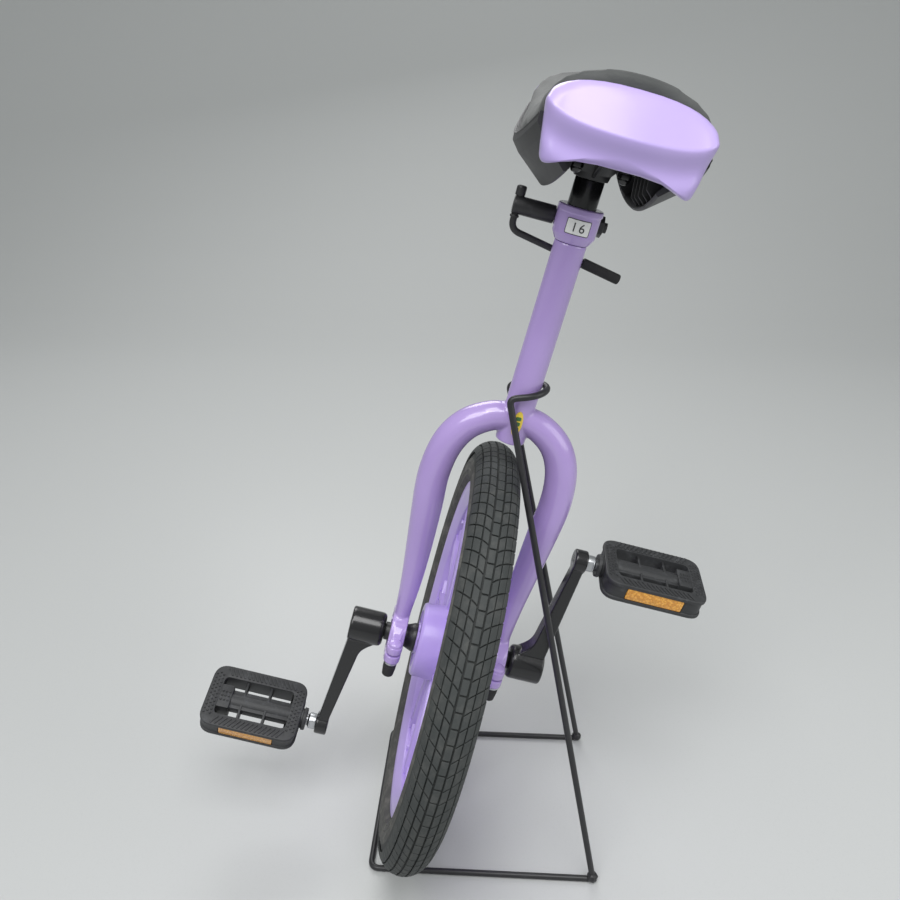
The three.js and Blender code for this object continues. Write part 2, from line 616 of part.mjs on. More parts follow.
function bearingCap() {
  const high = -SPLIT / 2;
  const start = Math.asin(SPLIT / 2 / HOUSING_BORE);
  const turn = Math.asin((SPLIT / 2 + EAR_THICKNESS) / HOUSING_RADIUS);
  const shape = new THREE.Shape();
  shape.moveTo(EAR_END, high);
  shape.lineTo(HOUSING_BORE * Math.cos(start), high);
  shape.absarc(0, 0, HOUSING_BORE, -start, start - Math.PI, true);
  shape.lineTo(-EAR_END, high);
  shape.lineTo(-EAR_END, high - EAR_THICKNESS);
  shape.lineTo(-HOUSING_RADIUS * Math.cos(turn), high - EAR_THICKNESS);
  shape.absarc(0, 0, HOUSING_RADIUS, turn - Math.PI, -turn, false);
  shape.lineTo(EAR_END, high - EAR_THICKNESS);
  return boltedHousing(shape);
}

function boltedHousing(shape) {
  const block = drawnAlongX(shape, BEARING_X - HOUSING_WIDTH / 2, BEARING_X + HOUSING_WIDTH / 2, 8);
  const holes = ENDS.map(([, end]) => rod("z", BOLT_RADIUS + GAP, -40, 40, BEARING_X, end * EAR_BOLT_Y, 12));
  return cut(block, ...holes);
}

const EAR_TOP = SPLIT / 2 + EAR_THICKNESS;
const EAR_UNDER = -SPLIT / 2 - EAR_THICKNESS;

function capBolt(end) {
  const washer = EAR_UNDER - GAP;
  return turnedOnZ([
    [0, washer - 8], [BOLT_RADIUS, washer - 8], [BOLT_RADIUS, washer - 2], [TIP_RADIUS, washer - 2],
    [TIP_RADIUS, washer], [BOLT_RADIUS, washer], [BOLT_RADIUS, EAR_TOP + GAP], [DOME_RADIUS, EAR_TOP + GAP],
    [DOME_RADIUS, EAR_TOP + 1.6], [DOME_RADIUS * 0.72, EAR_TOP + DOME_HEIGHT * 0.8],
    [0, EAR_TOP + DOME_HEIGHT],
  ], 12).translate(BEARING_X, end * EAR_BOLT_Y, 0);
}

function boltTip(end) {
  const top = EAR_UNDER - 2 * GAP - 2;
  const bottom = top - TIP_LENGTH;
  return turnedOnZ([
    [0, bottom], [TIP_RADIUS - 1, bottom], [TIP_RADIUS, bottom + 1.5], [TIP_RADIUS, top],
    [BOLT_RADIUS + GAP, top],
    [BOLT_RADIUS + GAP, top - 6.5], [0, top - 6.5],
  ], 12).translate(BEARING_X, end * EAR_BOLT_Y, 0);
}

function bearing() {
  const half = BEARING_WIDTH / 2;
  const inner = AXLE_RADIUS + GAP;
  const profile = [
    [inner, -half], [BEARING_RADIUS, -half], [BEARING_RADIUS, half], [inner, half], [inner, -half],
  ];
  return turnedOnX(profile.map(([radius, x]) => [radius, x + BEARING_X]), 24);
}

// Half of the fork: a tube that leaves the seat tube level, turns down and thins towards the bearing.
function forkLeg() {
  const centre = new THREE.CatmullRomCurve3([
    new THREE.Vector3(0, 0, LEG_CROWN_Z),
    new THREE.Vector3(20, 0, LEG_CROWN_Z - 4),
    new THREE.Vector3(LEG_SHOULDER_X - 16, 0, LEG_CROWN_Z - 17),
    new THREE.Vector3(LEG_SHOULDER_X - 4.5, 0, LEG_CROWN_Z - 38),
    new THREE.Vector3(LEG_SHOULDER_X, 0, LEG_CROWN_Z - 68),
    new THREE.Vector3(LEG_SHOULDER_X - 2, 0, LEG_CROWN_Z - 105),
    new THREE.Vector3(BEARING_X + 1.4, 0, LEG_CROWN_Z - 148),
    new THREE.Vector3(BEARING_X, 0, LEG_FOOT_Z + 30),
    new THREE.Vector3(BEARING_X, 0, LEG_FOOT_Z),
  ]);
  const steps = 16;
  const section = new THREE.Shape().absarc(0, 0, 1, 0, 2 * Math.PI);
  const stations = centre.getSpacedPoints(steps);
  const straightTop = LEG_CROWN_Z - 90;
  const radiusAt = ({ x, z }) => {
    const down = THREE.MathUtils.clamp((straightTop - z) / (straightTop - LEG_FOOT_Z), 0, 1);
    const out = THREE.MathUtils.clamp(x / BEARING_X, 0, 1);
    const full = LEG_CROWN_RADIUS + (LEG_TOP_RADIUS - LEG_CROWN_RADIUS) * out;
    return full - (LEG_TOP_RADIUS - LEG_FOOT_RADIUS) * down ** 1.3;
  };
  // a round bar of radius 1 is swept, and each of its rings is then opened to the leg's radius there
  const swept = (inset) => {
    const geometry = new THREE.ExtrudeGeometry(section, {
      steps, bevelEnabled: false, extrudePath: centre, curveSegments: 6,
    });
    const position = geometry.getAttribute("position");
    const point = new THREE.Vector3();
    for (let i = 0; i < position.count; i++) {
      point.fromBufferAttribute(position, i);
      const near = stations.reduce((best, s) => (s.distanceTo(point) < best.distanceTo(point) ? s : best));
      point.sub(near).multiplyScalar(radiusAt(near) - inset).add(near);
      position.setXYZ(i, point.x, point.y, point.z);
    }
    return geometry;
  };
  const seatTube = rod("z", TUBE_RADIUS + GAP, LEG_CROWN_Z - 60, LEG_CROWN_Z + 60, 0, 0, 24);
  const otherHalf = box(-40, 0, -40, 40, LEG_CROWN_Z - 60, LEG_CROWN_Z + 60);
  return cut(swept(0), swept(LEG_WALL), seatTube, otherHalf);
}

const CLAMP_Z = COLLAR_BASE + COLLAR_HEIGHT / 2;

function collar() {
  const top = COLLAR_BASE + COLLAR_HEIGHT;
  const ring = turnedOnZ([
    [0, COLLAR_BASE], [TUBE_RADIUS + 0.5, COLLAR_BASE], [COLLAR_RADIUS, COLLAR_BASE + 5],
    [COLLAR_RADIUS, top - 1], [COLLAR_RADIUS - 1, top], [0, top],
  ], 24);
  const lugs = box(-LUG_THICKNESS - SLIT / 2, LUG_THICKNESS + SLIT / 2, 4, CLAMP_Y + 7,
    CLAMP_Z - LUG_HEIGHT / 2, CLAMP_Z + LUG_HEIGHT / 2);
  const bore = rod("z", POST_RADIUS + GAP, COLLAR_BASE - 1, top + 1, 0, 0, 24);
  const slit = box(-SLIT / 2, SLIT / 2, 2, CLAMP_Y + 20, COLLAR_BASE - 1, top + 1);
  const bolt = rod("x", CLAMP_BOLT_RADIUS + GAP, -40, 40, CLAMP_Y, CLAMP_Z, 16);
  return cut(join(ring, lugs), bore, slit, bolt);
}

function seatTube() {
  const top = COLLAR_BASE - GAP;
  const bore = POST_RADIUS + GAP;
  return turnedOnZ([
    [bore, TUBE_FOOT], [TUBE_RADIUS, TUBE_FOOT], [TUBE_RADIUS, top], [bore, top], [bore, TUBE_FOOT],
  ], 24);
}

function buildFrame() {
  place(unicycle, "seat_tube", seatTube(), LAVENDER);
  place(unicycle, "seat_collar", collar(), LAVENDER);
  const low = COLLAR_BASE + LABEL_RISE;
  const edge = LABEL_WIDTH / 2;
  const label = outline([[-edge, low], [edge, low], [edge, low + LABEL_HEIGHT], [-edge, low + LABEL_HEIGHT]]);
  place(unicycle, "size_label", wrapped(label, COLLAR_RADIUS + GAP, COLLAR_RADIUS + GAP + FILM), LABEL_WHITE);
  const badge = new THREE.Shape();
  badge.absellipse(0.5, TUBE_FOOT + BADGE_RISE, BADGE_HALF_WIDTH, BADGE_HALF_HEIGHT, 0, 2 * Math.PI);
  place(unicycle, "crown_badge", wrapped(badge, TUBE_RADIUS + GAP, TUBE_RADIUS + GAP + FILM), STICKER_YELLOW);
  for (const [name, side] of SIDES) {
    place(unicycle, `fork_leg_${name}`, mirrored(forkLeg(), side), LAVENDER);
    place(unicycle, `bearing_seat_${name}`, mirrored(bearingSeat(), side), LAVENDER);
    place(unicycle, `bearing_cap_${name}`, mirrored(bearingCap(), side), LAVENDER);
    place(unicycle, `bearing_${name}`, mirrored(bearing(), side), BARE_STEEL);
    for (const [where, end] of ENDS) {
      place(unicycle, `cap_bolt_${name}_${where}`, mirrored(capBolt(end), side), LAVENDER);
      place(unicycle, `bolt_tip_${name}_${where}`, mirrored(boltTip(end), side), BLACK_RUBBER);
    }
  }
}

// ---------- seat post clamp ----------
const LUG_FACE = LUG_THICKNESS + SLIT / 2 + GAP;

function buildClamp() {
  const nutFace = LUG_FACE + CLAMP_NUT_WIDTH;
  const shank = rod("x", CLAMP_BOLT_RADIUS, -LUG_FACE - 1, nutFace + 2, CLAMP_Y, CLAMP_Z, 16);
  const barrel = rod("x", BARREL_RADIUS, -LUG_FACE - BARREL_LENGTH, -LUG_FACE, CLAMP_Y, CLAMP_Z, 20);
  const crossHole = rod("z", BAR_RADIUS + GAP, CLAMP_Z - 20, CLAMP_Z + 20, BAR_X, CLAMP_Y, 16);
  place(unicycle, "clamp_bolt", cut(join(shank, barrel), crossHole), BLACK_SATIN);
  const hex = rod("x", CLAMP_NUT_RADIUS, LUG_FACE, nutFace, CLAMP_Y, CLAMP_Z, 6);
  const thread = rod("x", CLAMP_BOLT_RADIUS + GAP, 0, nutFace + 1, CLAMP_Y, CLAMP_Z, 16);
  place(unicycle, "clamp_nut", cut(hex, thread), BLACK_SATIN);
  const corner = new THREE.Vector3(BAR_X, CLAMP_Y, CLAMP_Z - BAR_DROP);
  const along = new THREE.Vector3(Math.cos(BAR_DROOP), 0, -Math.sin(BAR_DROOP));
  const tip = corner.clone().addScaledVector(along, BAR_ARM);
  const route = bentPath([new THREE.Vector3(BAR_X, CLAMP_Y, CLAMP_Z + BAR_RISE), corner, tip], BAR_BEND);
  const knobFoot = CLAMP_Z + BARREL_RADIUS + GAP;
  const knob = rod("z", BAR_RADIUS + 1.2, knobFoot, CLAMP_Z + BAR_RISE + 3, BAR_X, CLAMP_Y, 16);
  place(unicycle, "clamp_bar", join(barAlong(route, BAR_RADIUS, route.steps), knob), BLACK_SATIN);
  const from = tip.clone().lerp(corner, (GRIP_LENGTH - 3) / BAR_ARM);
  const to = tip.clone().lerp(corner, -3 / BAR_ARM);
  const grip = barAlong(new THREE.LineCurve3(from, to), GRIP_RADIUS, 1, 12);
  const filled = barAlong(new THREE.LineCurve3(corner, tip), BAR_RADIUS + GAP, 1, 12);
  place(unicycle, "bar_grip", cut(grip, filled), BLACK_RUBBER);
}

// ---------- post and saddle ----------
// The saddle is drawn flat and then bent, so that both ends rise, and narrowed towards its ends.
const bendAt = (y) => SADDLE_BEND * (y / SADDLE_HALF_LENGTH) ** 2;
const narrowAt = (y) => 1 - (1 - SADDLE_END_WIDTH) * Math.min(1, Math.abs(y / SADDLE_HALF_LENGTH)) ** 2;

function bent(geometry, narrow = true) {
  const position = geometry.getAttribute("position");
  for (let i = 0; i < position.count; i++) {
    const y = position.getY(i);
    if (narrow) position.setX(i, position.getX(i) * narrowAt(y));
    position.setZ(i, position.getZ(i) + bendAt(y));
  }
  return geometry;
}

function saddlePad() {
  const low = DECK_Z + GAP;
  const half = SADDLE_HALF_WIDTH;
  const shape = new THREE.Shape();
  shape.moveTo(-half + 1, low);
  shape.lineTo(half - 1, low);
  shape.quadraticCurveTo(half + 1.5, low + PAD_WALL / 2, half - 0.5, low + PAD_WALL);
  shape.absellipse(0, low + PAD_WALL, half - 0.5, PAD_THICKNESS - PAD_WALL, 0, Math.PI);
  shape.quadraticCurveTo(-half - 1.5, low + PAD_WALL / 2, -half + 1, low);
  const reach = SADDLE_HALF_LENGTH - GAP;
  return bent(drawnAlongY(shape, -reach, reach, 12, 5));
}

function saddleBase() {
  const half = SADDLE_HALF_WIDTH;
  const foot = DECK_Z - SKIRT_DROP;
  const under = DECK_Z - DECK_THICKNESS;
  const profile = [
    [-half, DECK_Z], [-half, DECK_Z - 6], [-half + 6, DECK_Z - 13], [-SKIRT_FOOT_X, foot],
    [-SKIRT_FOOT_X + SKIRT_WALL, foot + 1.5], [-half + 6 + SKIRT_WALL, under], [half - 6 - SKIRT_WALL, under],
    [SKIRT_FOOT_X - SKIRT_WALL, foot + 1.5], [SKIRT_FOOT_X, foot], [half - 6, DECK_Z - 13],
    [half, DECK_Z - 6], [half, DECK_Z],
  ];
  const reach = SADDLE_HALF_LENGTH - GAP;
  return bent(drawnAlongY(outline(profile), -reach, reach, 12));
}

// A bumper closes one end of the saddle: arched below, full in the middle, with a scoop along its upper edge.
function bumper(end) {
  const half = SADDLE_HALF_WIDTH * SADDLE_END_WIDTH;
  const low = DECK_Z - BUMPER_DROP + SADDLE_BEND;
  const top = low + BUMPER_HEIGHT;
  const shape = new THREE.Shape();
  shape.moveTo(-half + 8, low - 1);
  shape.quadraticCurveTo(0, low + 12, half - 8, low - 1);
  shape.quadraticCurveTo(half - 4, low, half - 3, low + 12);
  shape.quadraticCurveTo(half + 1, top - 20, half - 1, top - 14);
  shape.quadraticCurveTo(half - 10, top - 2, 0, top);
  shape.quadraticCurveTo(-half + 10, top - 2, -half + 1, top - 14);
  shape.quadraticCurveTo(-half - 1, top - 20, -half + 3, low + 12);
  shape.quadraticCurveTo(-half + 4, low, -half + 8, low - 1);
  const block = drawnAlongY(shape, 0, BUMPER_DEPTH, 3, 5);
  const position = block.getAttribute("position");
  for (let i = 0; i < position.count; i++) {
    const out = position.getY(i) / BUMPER_DEPTH;
    const across = position.getX(i) / half;
    position.setX(i, position.getX(i) * (1 - BUMPER_TAPER * out ** 3));
    position.setY(i, position.getY(i) - 9 * out * across ** 2);
    const middle = low + 24;
    position.setZ(i, middle + (position.getZ(i) - middle) * (1 - 0.12 * out ** 3));
  }
  const scoop = new THREE.BoxGeometry(200, 80, 40)
    .translate(0, 0, 20)
    .rotateX(-SCOOP_TILT)
    .translate(0, BUMPER_DEPTH - 1, low + 30);
  const made = cut(block, scoop);
  if (end < 0) made.rotateZ(Math.PI);
  return made.translate(0, end * SADDLE_HALF_LENGTH, 0);
}

function saddleBracket() {
  const under = DECK_Z - DECK_THICKNESS - GAP;
  const plateShape = outline([
    [-PLATE_WIDTH / 2, under - PLATE_THICKNESS], [PLATE_WIDTH / 2, under - PLATE_THICKNESS],
    [PLATE_WIDTH / 2, under], [-PLATE_WIDTH / 2, under],
  ]);
  const plate = bent(drawnAlongY(plateShape, -PLATE_LENGTH / 2, PLATE_LENGTH / 2, 8), false);
  const flange = turnedOnZ([
    [0, POST_TOP + GAP], [POST_RADIUS + 2, POST_TOP + GAP], [POST_RADIUS + 7, under - PLATE_THICKNESS],
    [POST_RADIUS + 7, under - 1], [0, under - 1],
  ], 20);
  const holes = SIDES.flatMap(([, side]) => ENDS.map(([, end]) =>
    rod("z", BOLT_RADIUS + GAP, under - 20, under + 20, side * SADDLE_BOLT_X, end * SADDLE_BOLT_Y, 12)));
  return cut(join(plate, flange), ...holes);
}

function saddleNut(side, end) {
  const face = DECK_Z - DECK_THICKNESS - GAP - PLATE_THICKNESS + bendAt(SADDLE_BOLT_Y) - 1.6;
  return turnedOnZ([
    [0, face - 9], [4, face - 7], [SADDLE_NUT_RADIUS, face - 4], [SADDLE_NUT_RADIUS, face],
    [BOLT_RADIUS, face], [BOLT_RADIUS, face + 4], [0, face + 4],
  ], 10).translate(side * SADDLE_BOLT_X, end * SADDLE_BOLT_Y, 0);
}

function buildSaddle() {
  const inside = POST_RADIUS - POST_WALL;
  place(unicycle, "seat_post", turnedOnZ([
    [inside, POST_BOTTOM], [POST_RADIUS, POST_BOTTOM], [POST_RADIUS, POST_TOP], [inside, POST_TOP],
    [inside, POST_BOTTOM],
  ], 24), BLACK_GLOSS);
  place(unicycle, "saddle_bracket", saddleBracket(), BLACK_SATIN);
  for (const [name, side] of SIDES) {
    for (const [where, end] of ENDS) {
      place(unicycle, `saddle_nut_${name}_${where}`, saddleNut(side, end), BLACK_SATIN);
    }
  }
  place(unicycle, "saddle_base", saddleBase(), BLACK_PLASTIC);
  place(unicycle, "saddle_pad", saddlePad(), COVER);
  for (const [where, end] of ENDS) place(unicycle, `bumper_${where}`, bumper(end), LAVENDER_PLASTIC);
}

// ---------- stand ----------
const AXLE_HEIGHT = TYRE_CENTRE * Math.cos(LEAN) + TYRE_RADIUS;
const STAND_LEFT = Math.round(-TYRE_CENTRE * Math.sin(LEAN) - TYRE_RADIUS - STAND_CLEARANCE);
const HOOK_Z = Math.round(AXLE_HEIGHT + (TUBE_FOOT + HOOK_ABOVE_FOOT) * Math.cos(LEAN));
const TUBE_X = Math.tan(LEAN) * (HOOK_Z - AXLE_HEIGHT); // where the seat tube crosses the hook's height
const STAND_RIGHT = Math.round(TUBE_X + STAND_REACH);

function buildStand() {
  const floor = WIRE_RADIUS;
  const corner = (x, y, z = floor) => new THREE.Vector3(x, y, z);
  const base = bentPath([
    corner(STAND_RIGHT, STAND_FRONT), corner(STAND_LEFT, STAND_FRONT), corner(STAND_LEFT, STAND_BACK),
    corner(STAND_RIGHT, STAND_BACK),
  ], STAND_BEND);
  const baseWire = barAlong(base, WIRE_RADIUS, base.steps);

  const slope = LEAN + HOOK_RISE;
  const inside = TUBE_RADIUS / Math.cos(slope) + WIRE_RADIUS * Math.tan(slope) + HOOK_CLEARANCE;
  const loop = inside + WIRE_RADIUS;
  const hookPoint = (x, y) => corner(TUBE_X + x * Math.cos(HOOK_RISE), y, HOOK_Z + x * Math.sin(HOOK_RISE));
  const top = new BentPath();
  const footHeight = floor + 1.3 * WIRE_RADIUS + GAP;
  const footFront = corner(STAND_RIGHT, STAND_FRONT, footHeight);
  const footBack = corner(STAND_RIGHT, STAND_BACK, footHeight);
  const bend = (from, at, to, reach) => {
    const start = at.clone().lerp(from, reach / at.distanceTo(from));
    const end = at.clone().lerp(to, reach / at.distanceTo(to));
    return [start, new THREE.QuadraticBezierCurve3(start, at, end), end];
  };
  const frontTurn = bend(footFront, hookPoint(-HOOK_ARM, -loop), hookPoint(0, -loop), 6);
  const backTurn = bend(hookPoint(0, loop), hookPoint(-HOOK_ARM, loop), footBack, 6);
  top.add(new THREE.LineCurve3(footFront, frontTurn[0]));
  top.add(frontTurn[1]);
  top.add(new THREE.LineCurve3(frontTurn[2], hookPoint(0, -loop)));
  for (const turn of [-1, 1]) {
    const from = turn < 0 ? hookPoint(0, -loop) : hookPoint(loop, 0);
    const to = turn < 0 ? hookPoint(loop, 0) : hookPoint(0, loop);
    const square = hookPoint(loop, turn * loop);
    const [near, far] = [from, to].map((end) => end.clone().lerp(square, QUARTER_CIRCLE));
    top.add(new THREE.CubicBezierCurve3(from, near, far, to));
  }
  top.add(new THREE.LineCurve3(hookPoint(0, loop), backTurn[0]));
  top.add(backTurn[1]);
  top.add(new THREE.LineCurve3(backTurn[2], footBack));
  const upright = barAlong(top, WIRE_RADIUS, top.steps);
  place(stand, "stand_base_wire", baseWire, BLACK_SATIN);
  place(stand, "stand_upright_wire", upright, BLACK_SATIN);
  // a weld bead holds each leg on its corner of the base
  for (const [where, foot] of [["front", footFront], ["back", footBack]]) {
    const bead = new THREE.SphereGeometry(WELD_RADIUS, 12, 8).translate(foot.x, foot.y, WELD_RADIUS);
    const cleared = [base, top].map((line) => barAlong(line, WIRE_RADIUS + GAP, line.steps));
    place(stand, `stand_weld_${where}`, cut(bead, ...cleared), BLACK_SATIN);
  }
}

buildWheel();
buildFrame();
buildClamp();
buildSaddle();
buildStand();

// ---------- the whole, leaned into the stand, with its origin under the middle of its box ----------
unicycle.rotation.y = LEAN;
unicycle.position.z = AXLE_HEIGHT;
const whole = new THREE.Group();
whole.add(unicycle, stand);
whole.updateMatrixWorld(true);
const extent = new THREE.Box3().setFromObject(whole, true);
const middle = extent.getCenter(new THREE.Vector3());
whole.position.set(-middle.x, -middle.y, -extent.min.z);

const group = new THREE.Group();
group.add(whole);
export default group;
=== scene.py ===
# %% [markdown]
# # A sixteen inch unicycle leaning in its wire stand
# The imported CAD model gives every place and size, and stays hidden wherever a finer piece is made for it.
# A maker builds a unicycle upright about its axle, so most pieces here are drawn that way, in millimetres,
# with X along the axle and Z up the seat tube. One matrix then leans them into the stand.

# %% Load the frame
import json
import math

import bmesh
import bpy
from mathutils import Matrix, Vector, noise


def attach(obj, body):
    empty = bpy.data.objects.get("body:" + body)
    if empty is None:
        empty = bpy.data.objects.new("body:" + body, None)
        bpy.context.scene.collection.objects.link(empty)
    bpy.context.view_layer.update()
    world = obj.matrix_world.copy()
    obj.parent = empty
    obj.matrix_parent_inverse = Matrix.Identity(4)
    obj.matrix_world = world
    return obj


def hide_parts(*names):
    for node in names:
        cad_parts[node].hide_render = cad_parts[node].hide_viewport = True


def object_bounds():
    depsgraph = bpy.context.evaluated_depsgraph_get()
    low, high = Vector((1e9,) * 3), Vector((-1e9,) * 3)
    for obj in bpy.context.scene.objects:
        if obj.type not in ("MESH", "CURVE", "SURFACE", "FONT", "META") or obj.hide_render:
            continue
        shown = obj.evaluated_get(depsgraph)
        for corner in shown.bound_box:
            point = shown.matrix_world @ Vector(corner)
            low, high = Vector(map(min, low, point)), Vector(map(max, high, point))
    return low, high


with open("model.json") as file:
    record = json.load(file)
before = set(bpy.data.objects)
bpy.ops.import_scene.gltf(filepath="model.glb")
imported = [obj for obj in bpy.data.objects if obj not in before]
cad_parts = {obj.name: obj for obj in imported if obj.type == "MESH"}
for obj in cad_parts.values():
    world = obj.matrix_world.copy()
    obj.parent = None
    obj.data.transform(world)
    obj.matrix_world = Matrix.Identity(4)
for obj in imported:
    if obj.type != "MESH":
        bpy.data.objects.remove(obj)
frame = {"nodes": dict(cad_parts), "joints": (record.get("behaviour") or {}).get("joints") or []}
cad_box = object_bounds()
joints = {joint["name"]: joint for joint in frame["joints"]}

# %% The unicycle's own space
MM = 0.001
SIDES = {"left": -1, "right": 1}
ENDS = {"front": -1, "back": 1}
axle_line = Vector(joints["wheel_spin"]["axis"])
LEAN = math.atan2(-axle_line.z, axle_line.x)
TURNED = Matrix.Rotation(LEAN, 4, "Y")
OWN = Matrix.Translation(joints["wheel_spin"]["pos_m"]) @ TURNED @ Matrix.Scale(MM, 4)
FLOOR = Matrix.Scale(MM, 4)  # millimetres in the row's own frame, for the stand


def own_box(node, space=OWN):
    """A CAD node's lowest and highest corners in a space of the unicycle's, in millimetres."""
    back = space.inverted()
    points = [back @ v.co for v in frame["nodes"][node].data.vertices]
    low = Vector([min(p[i] for p in points) for i in range(3)])
    high = Vector([max(p[i] for p in points) for i in range(3)])
    return low, high


WHEEL_RADIUS = own_box("tyre")[1].z
print("leans", round(math.degrees(LEAN), 1), "degrees, wheel radius", round(WHEEL_RADIUS, 1), "mm")

# %% [markdown]
# ## Light, floor and camera
# A low object in a bright room is lit best by big soft sources: one above and in front, one at each side.
# The camera stands over the front of the wheel and looks down on it, so that the tread runs up the picture.

# %% Camera
camera_data = bpy.data.cameras.new("camera")
camera_data.lens = 32.8
camera_data.sensor_width = 36.0
camera = bpy.data.objects.new("camera", camera_data)
camera.location = (0.0417, -0.6345, 0.6862)
camera.rotation_euler = (math.radians(65.65), math.radians(0.1), math.radians(3.32))
bpy.context.scene.collection.objects.link(camera)
bpy.context.scene.camera = camera


# %% Lights and world
def soft_light(name, place, target, size, power, tint=(1, 1, 1)):
    """A square area light that faces its target."""
    data = bpy.data.lights.new(name, "AREA")
    data.size = size
    data.energy = power
    data.color = tint
    lamp = bpy.data.objects.new(name, data)
    lamp.location = place
    lamp.rotation_euler = (Vector(target) - Vector(place)).to_track_quat("-Z", "Y").to_euler()
    bpy.context.scene.collection.objects.link(lamp)


soft_light("key", (-0.9, -1.5, 2.1), (0, 0, 0.3), 1.2, 21)
soft_light("fill", (1.9, -0.7, 1.1), (0, 0, 0.3), 1.4, 11)
soft_light("rim", (-0.4, 1.8, 1.9), (0, 0, 0.4), 1.2, 17)
soft_light("top", (0.15, -0.75, 2.0), (0.1, -0.1, 0.6), 1.1, 21)

world = bpy.data.worlds.new("room")
world.use_nodes = True
world.node_tree.nodes["Background"].inputs["Color"].default_value = (0.80, 0.83, 0.82, 1)
world.node_tree.nodes["Background"].inputs["Strength"].default_value = 0.55
bpy.context.scene.world = world
bpy.context.scene.view_settings.view_transform = "Standard"

# %% [markdown]
# ## Shader maths as Python
# A finish is easier to read as a sum than as a drawing of nodes. `Wire` wraps one output socket, and adding
# or multiplying wires adds the Math nodes. `Finish` holds a material while it is made: `node` adds any node,
# with its settings first and then its inputs, and `done` sets the surface.


# %% Wire and Finish
class Wire:
    """One output of a material's nodes. Python's operators on it add Math nodes."""

    def __init__(self, finish, socket):
        self.finish = finish
        self.socket = socket

    def maths(self, operation, *others):
        inputs = {i: value for i, value in enumerate(others)}
        return self.finish.node("ShaderNodeMath", {"operation": operation}, inputs)

    def __add__(self, other):
        return self.maths("ADD", self, other)

    __radd__ = __add__

    def __mul__(self, other):
        return self.maths("MULTIPLY", self, other)

    __rmul__ = __mul__

    def between(self, low, high):
        """0 below low, 1 above high, and a smooth step from one to the other."""
        return self.finish.node("ShaderNodeMapRange", {"interpolation_type": "SMOOTHSTEP"},
                                {"Value": self, "From Min": low, "From Max": high})


class Finish:
    """A material while it is made. Its colours and sizes are in linear light and metres."""

    def __init__(self, name):
        self.material = bpy.data.materials.new(name)
        self.material.use_nodes = True
        self.nodes = self.material.node_tree.nodes
        self.links = self.material.node_tree.links
        self.surface = self.nodes["Principled BSDF"]

    def feed(self, socket, value):
        if isinstance(value, Wire):
            self.links.new(value.socket, socket)
        elif value is not None:
            flat = tuple(value) if hasattr(value, "__len__") else value
            longer = hasattr(value, "__len__") and len(socket.default_value) > len(flat)
            socket.default_value = flat + (1,) if longer else flat

    def node(self, kind, settings=None, inputs=None, output=0):
        made = self.nodes.new(kind)
        for name, value in (settings or {}).items():
            setattr(made, name, value)
        for name, value in (inputs or {}).items():
            self.feed(made.inputs[name], value)
        return Wire(self, made.outputs[output])

    def place(self, stretch=(1, 1, 1), upright=True):
        """Object coordinates, turned back upright so that a pattern runs with the unicycle's own lines."""
        here = self.node("ShaderNodeTexCoord", output="Object")
        turn = (0, -LEAN, 0) if upright else (0, 0, 0)
        return self.node("ShaderNodeMapping", None, {"Vector": here, "Rotation": turn, "Scale": stretch})

    def noise(self, size, detail=3, rough=0.5, stretch=(1, 1, 1)):
        """Noise from 0 to 1 whose patches are about that size."""
        inputs = {"Vector": self.place(stretch), "Scale": 1 / size, "Detail": detail, "Roughness": rough}
        return self.node("ShaderNodeTexNoise", None, inputs)

    def cells(self, size, feature="F1"):
        inputs = {"Vector": self.place(), "Scale": 1 / size}
        return self.node("ShaderNodeTexVoronoi", {"feature": feature}, inputs)

    def mix(self, share, first, second):
        """The first colour where share is 0, the second where it is 1."""
        made = self.nodes.new("ShaderNodeMix")
        made.data_type = "RGBA"
        for socket, value in zip((made.inputs[0], made.inputs[6], made.inputs[7]), (share, first, second)):
            self.feed(socket, value)
        return Wire(self, made.outputs[2])

    def bump(self, height, depth, under=None):
        inputs = {"Height": height, "Distance": depth, "Strength": 1.0, "Normal": under}
        return self.node("ShaderNodeBump", None, inputs)

    def done(self, **inputs):
        """The surface's inputs, such as base_color and roughness."""
        for name, value in inputs.items():
            self.feed(self.surface.inputs[name.replace("_", " ").title()], value)
        return self.material


# %% [markdown]
# ## Finishes
# The frame is sprayed steel: colour, then a thick clear coat that lies in slow waves called orange peel.
# The wheel and the saddle's end caps are dyed plastic of a bluer lavender, a little softer in its shine.
# Each black is its own finish too: enamel on the cranks, powder coat on the wire, grained plastic on the
# pedals. Fine bumps are some hundredths of a millimetre deep, as the real ones are.


# %% Paint and plastic
def sprayed(name, colour, shade, peel=0.00003, coat=0.75):
    f = Finish(name)
    drift = f.noise(0.09, 2)
    dust = f.noise(0.0016, 4, 0.7).between(0.62, 0.8)
    base = f.mix(drift.between(0.35, 0.65), colour, shade)
    waves = f.noise(0.0022, 2)
    return f.done(base_color=base, roughness=0.24 + dust * 0.16, coat_weight=coat, coat_roughness=0.07,
                  normal=f.bump(waves, peel))


def dyed_plastic(name, colour, shade, rough=0.34):
    f = Finish(name)
    drift = f.noise(0.05, 3)
    scuffs = f.noise(0.004, 5, 0.7, (1, 1, 7)).between(0.6, 0.78)
    grain = f.noise(0.0005, 2)
    return f.done(base_color=f.mix(drift.between(0.3, 0.7), colour, shade), roughness=rough + scuffs * 0.15,
                  coat_weight=0.25, coat_roughness=0.18, normal=f.bump(grain * 0.6 + scuffs * 0.4, 0.00002))


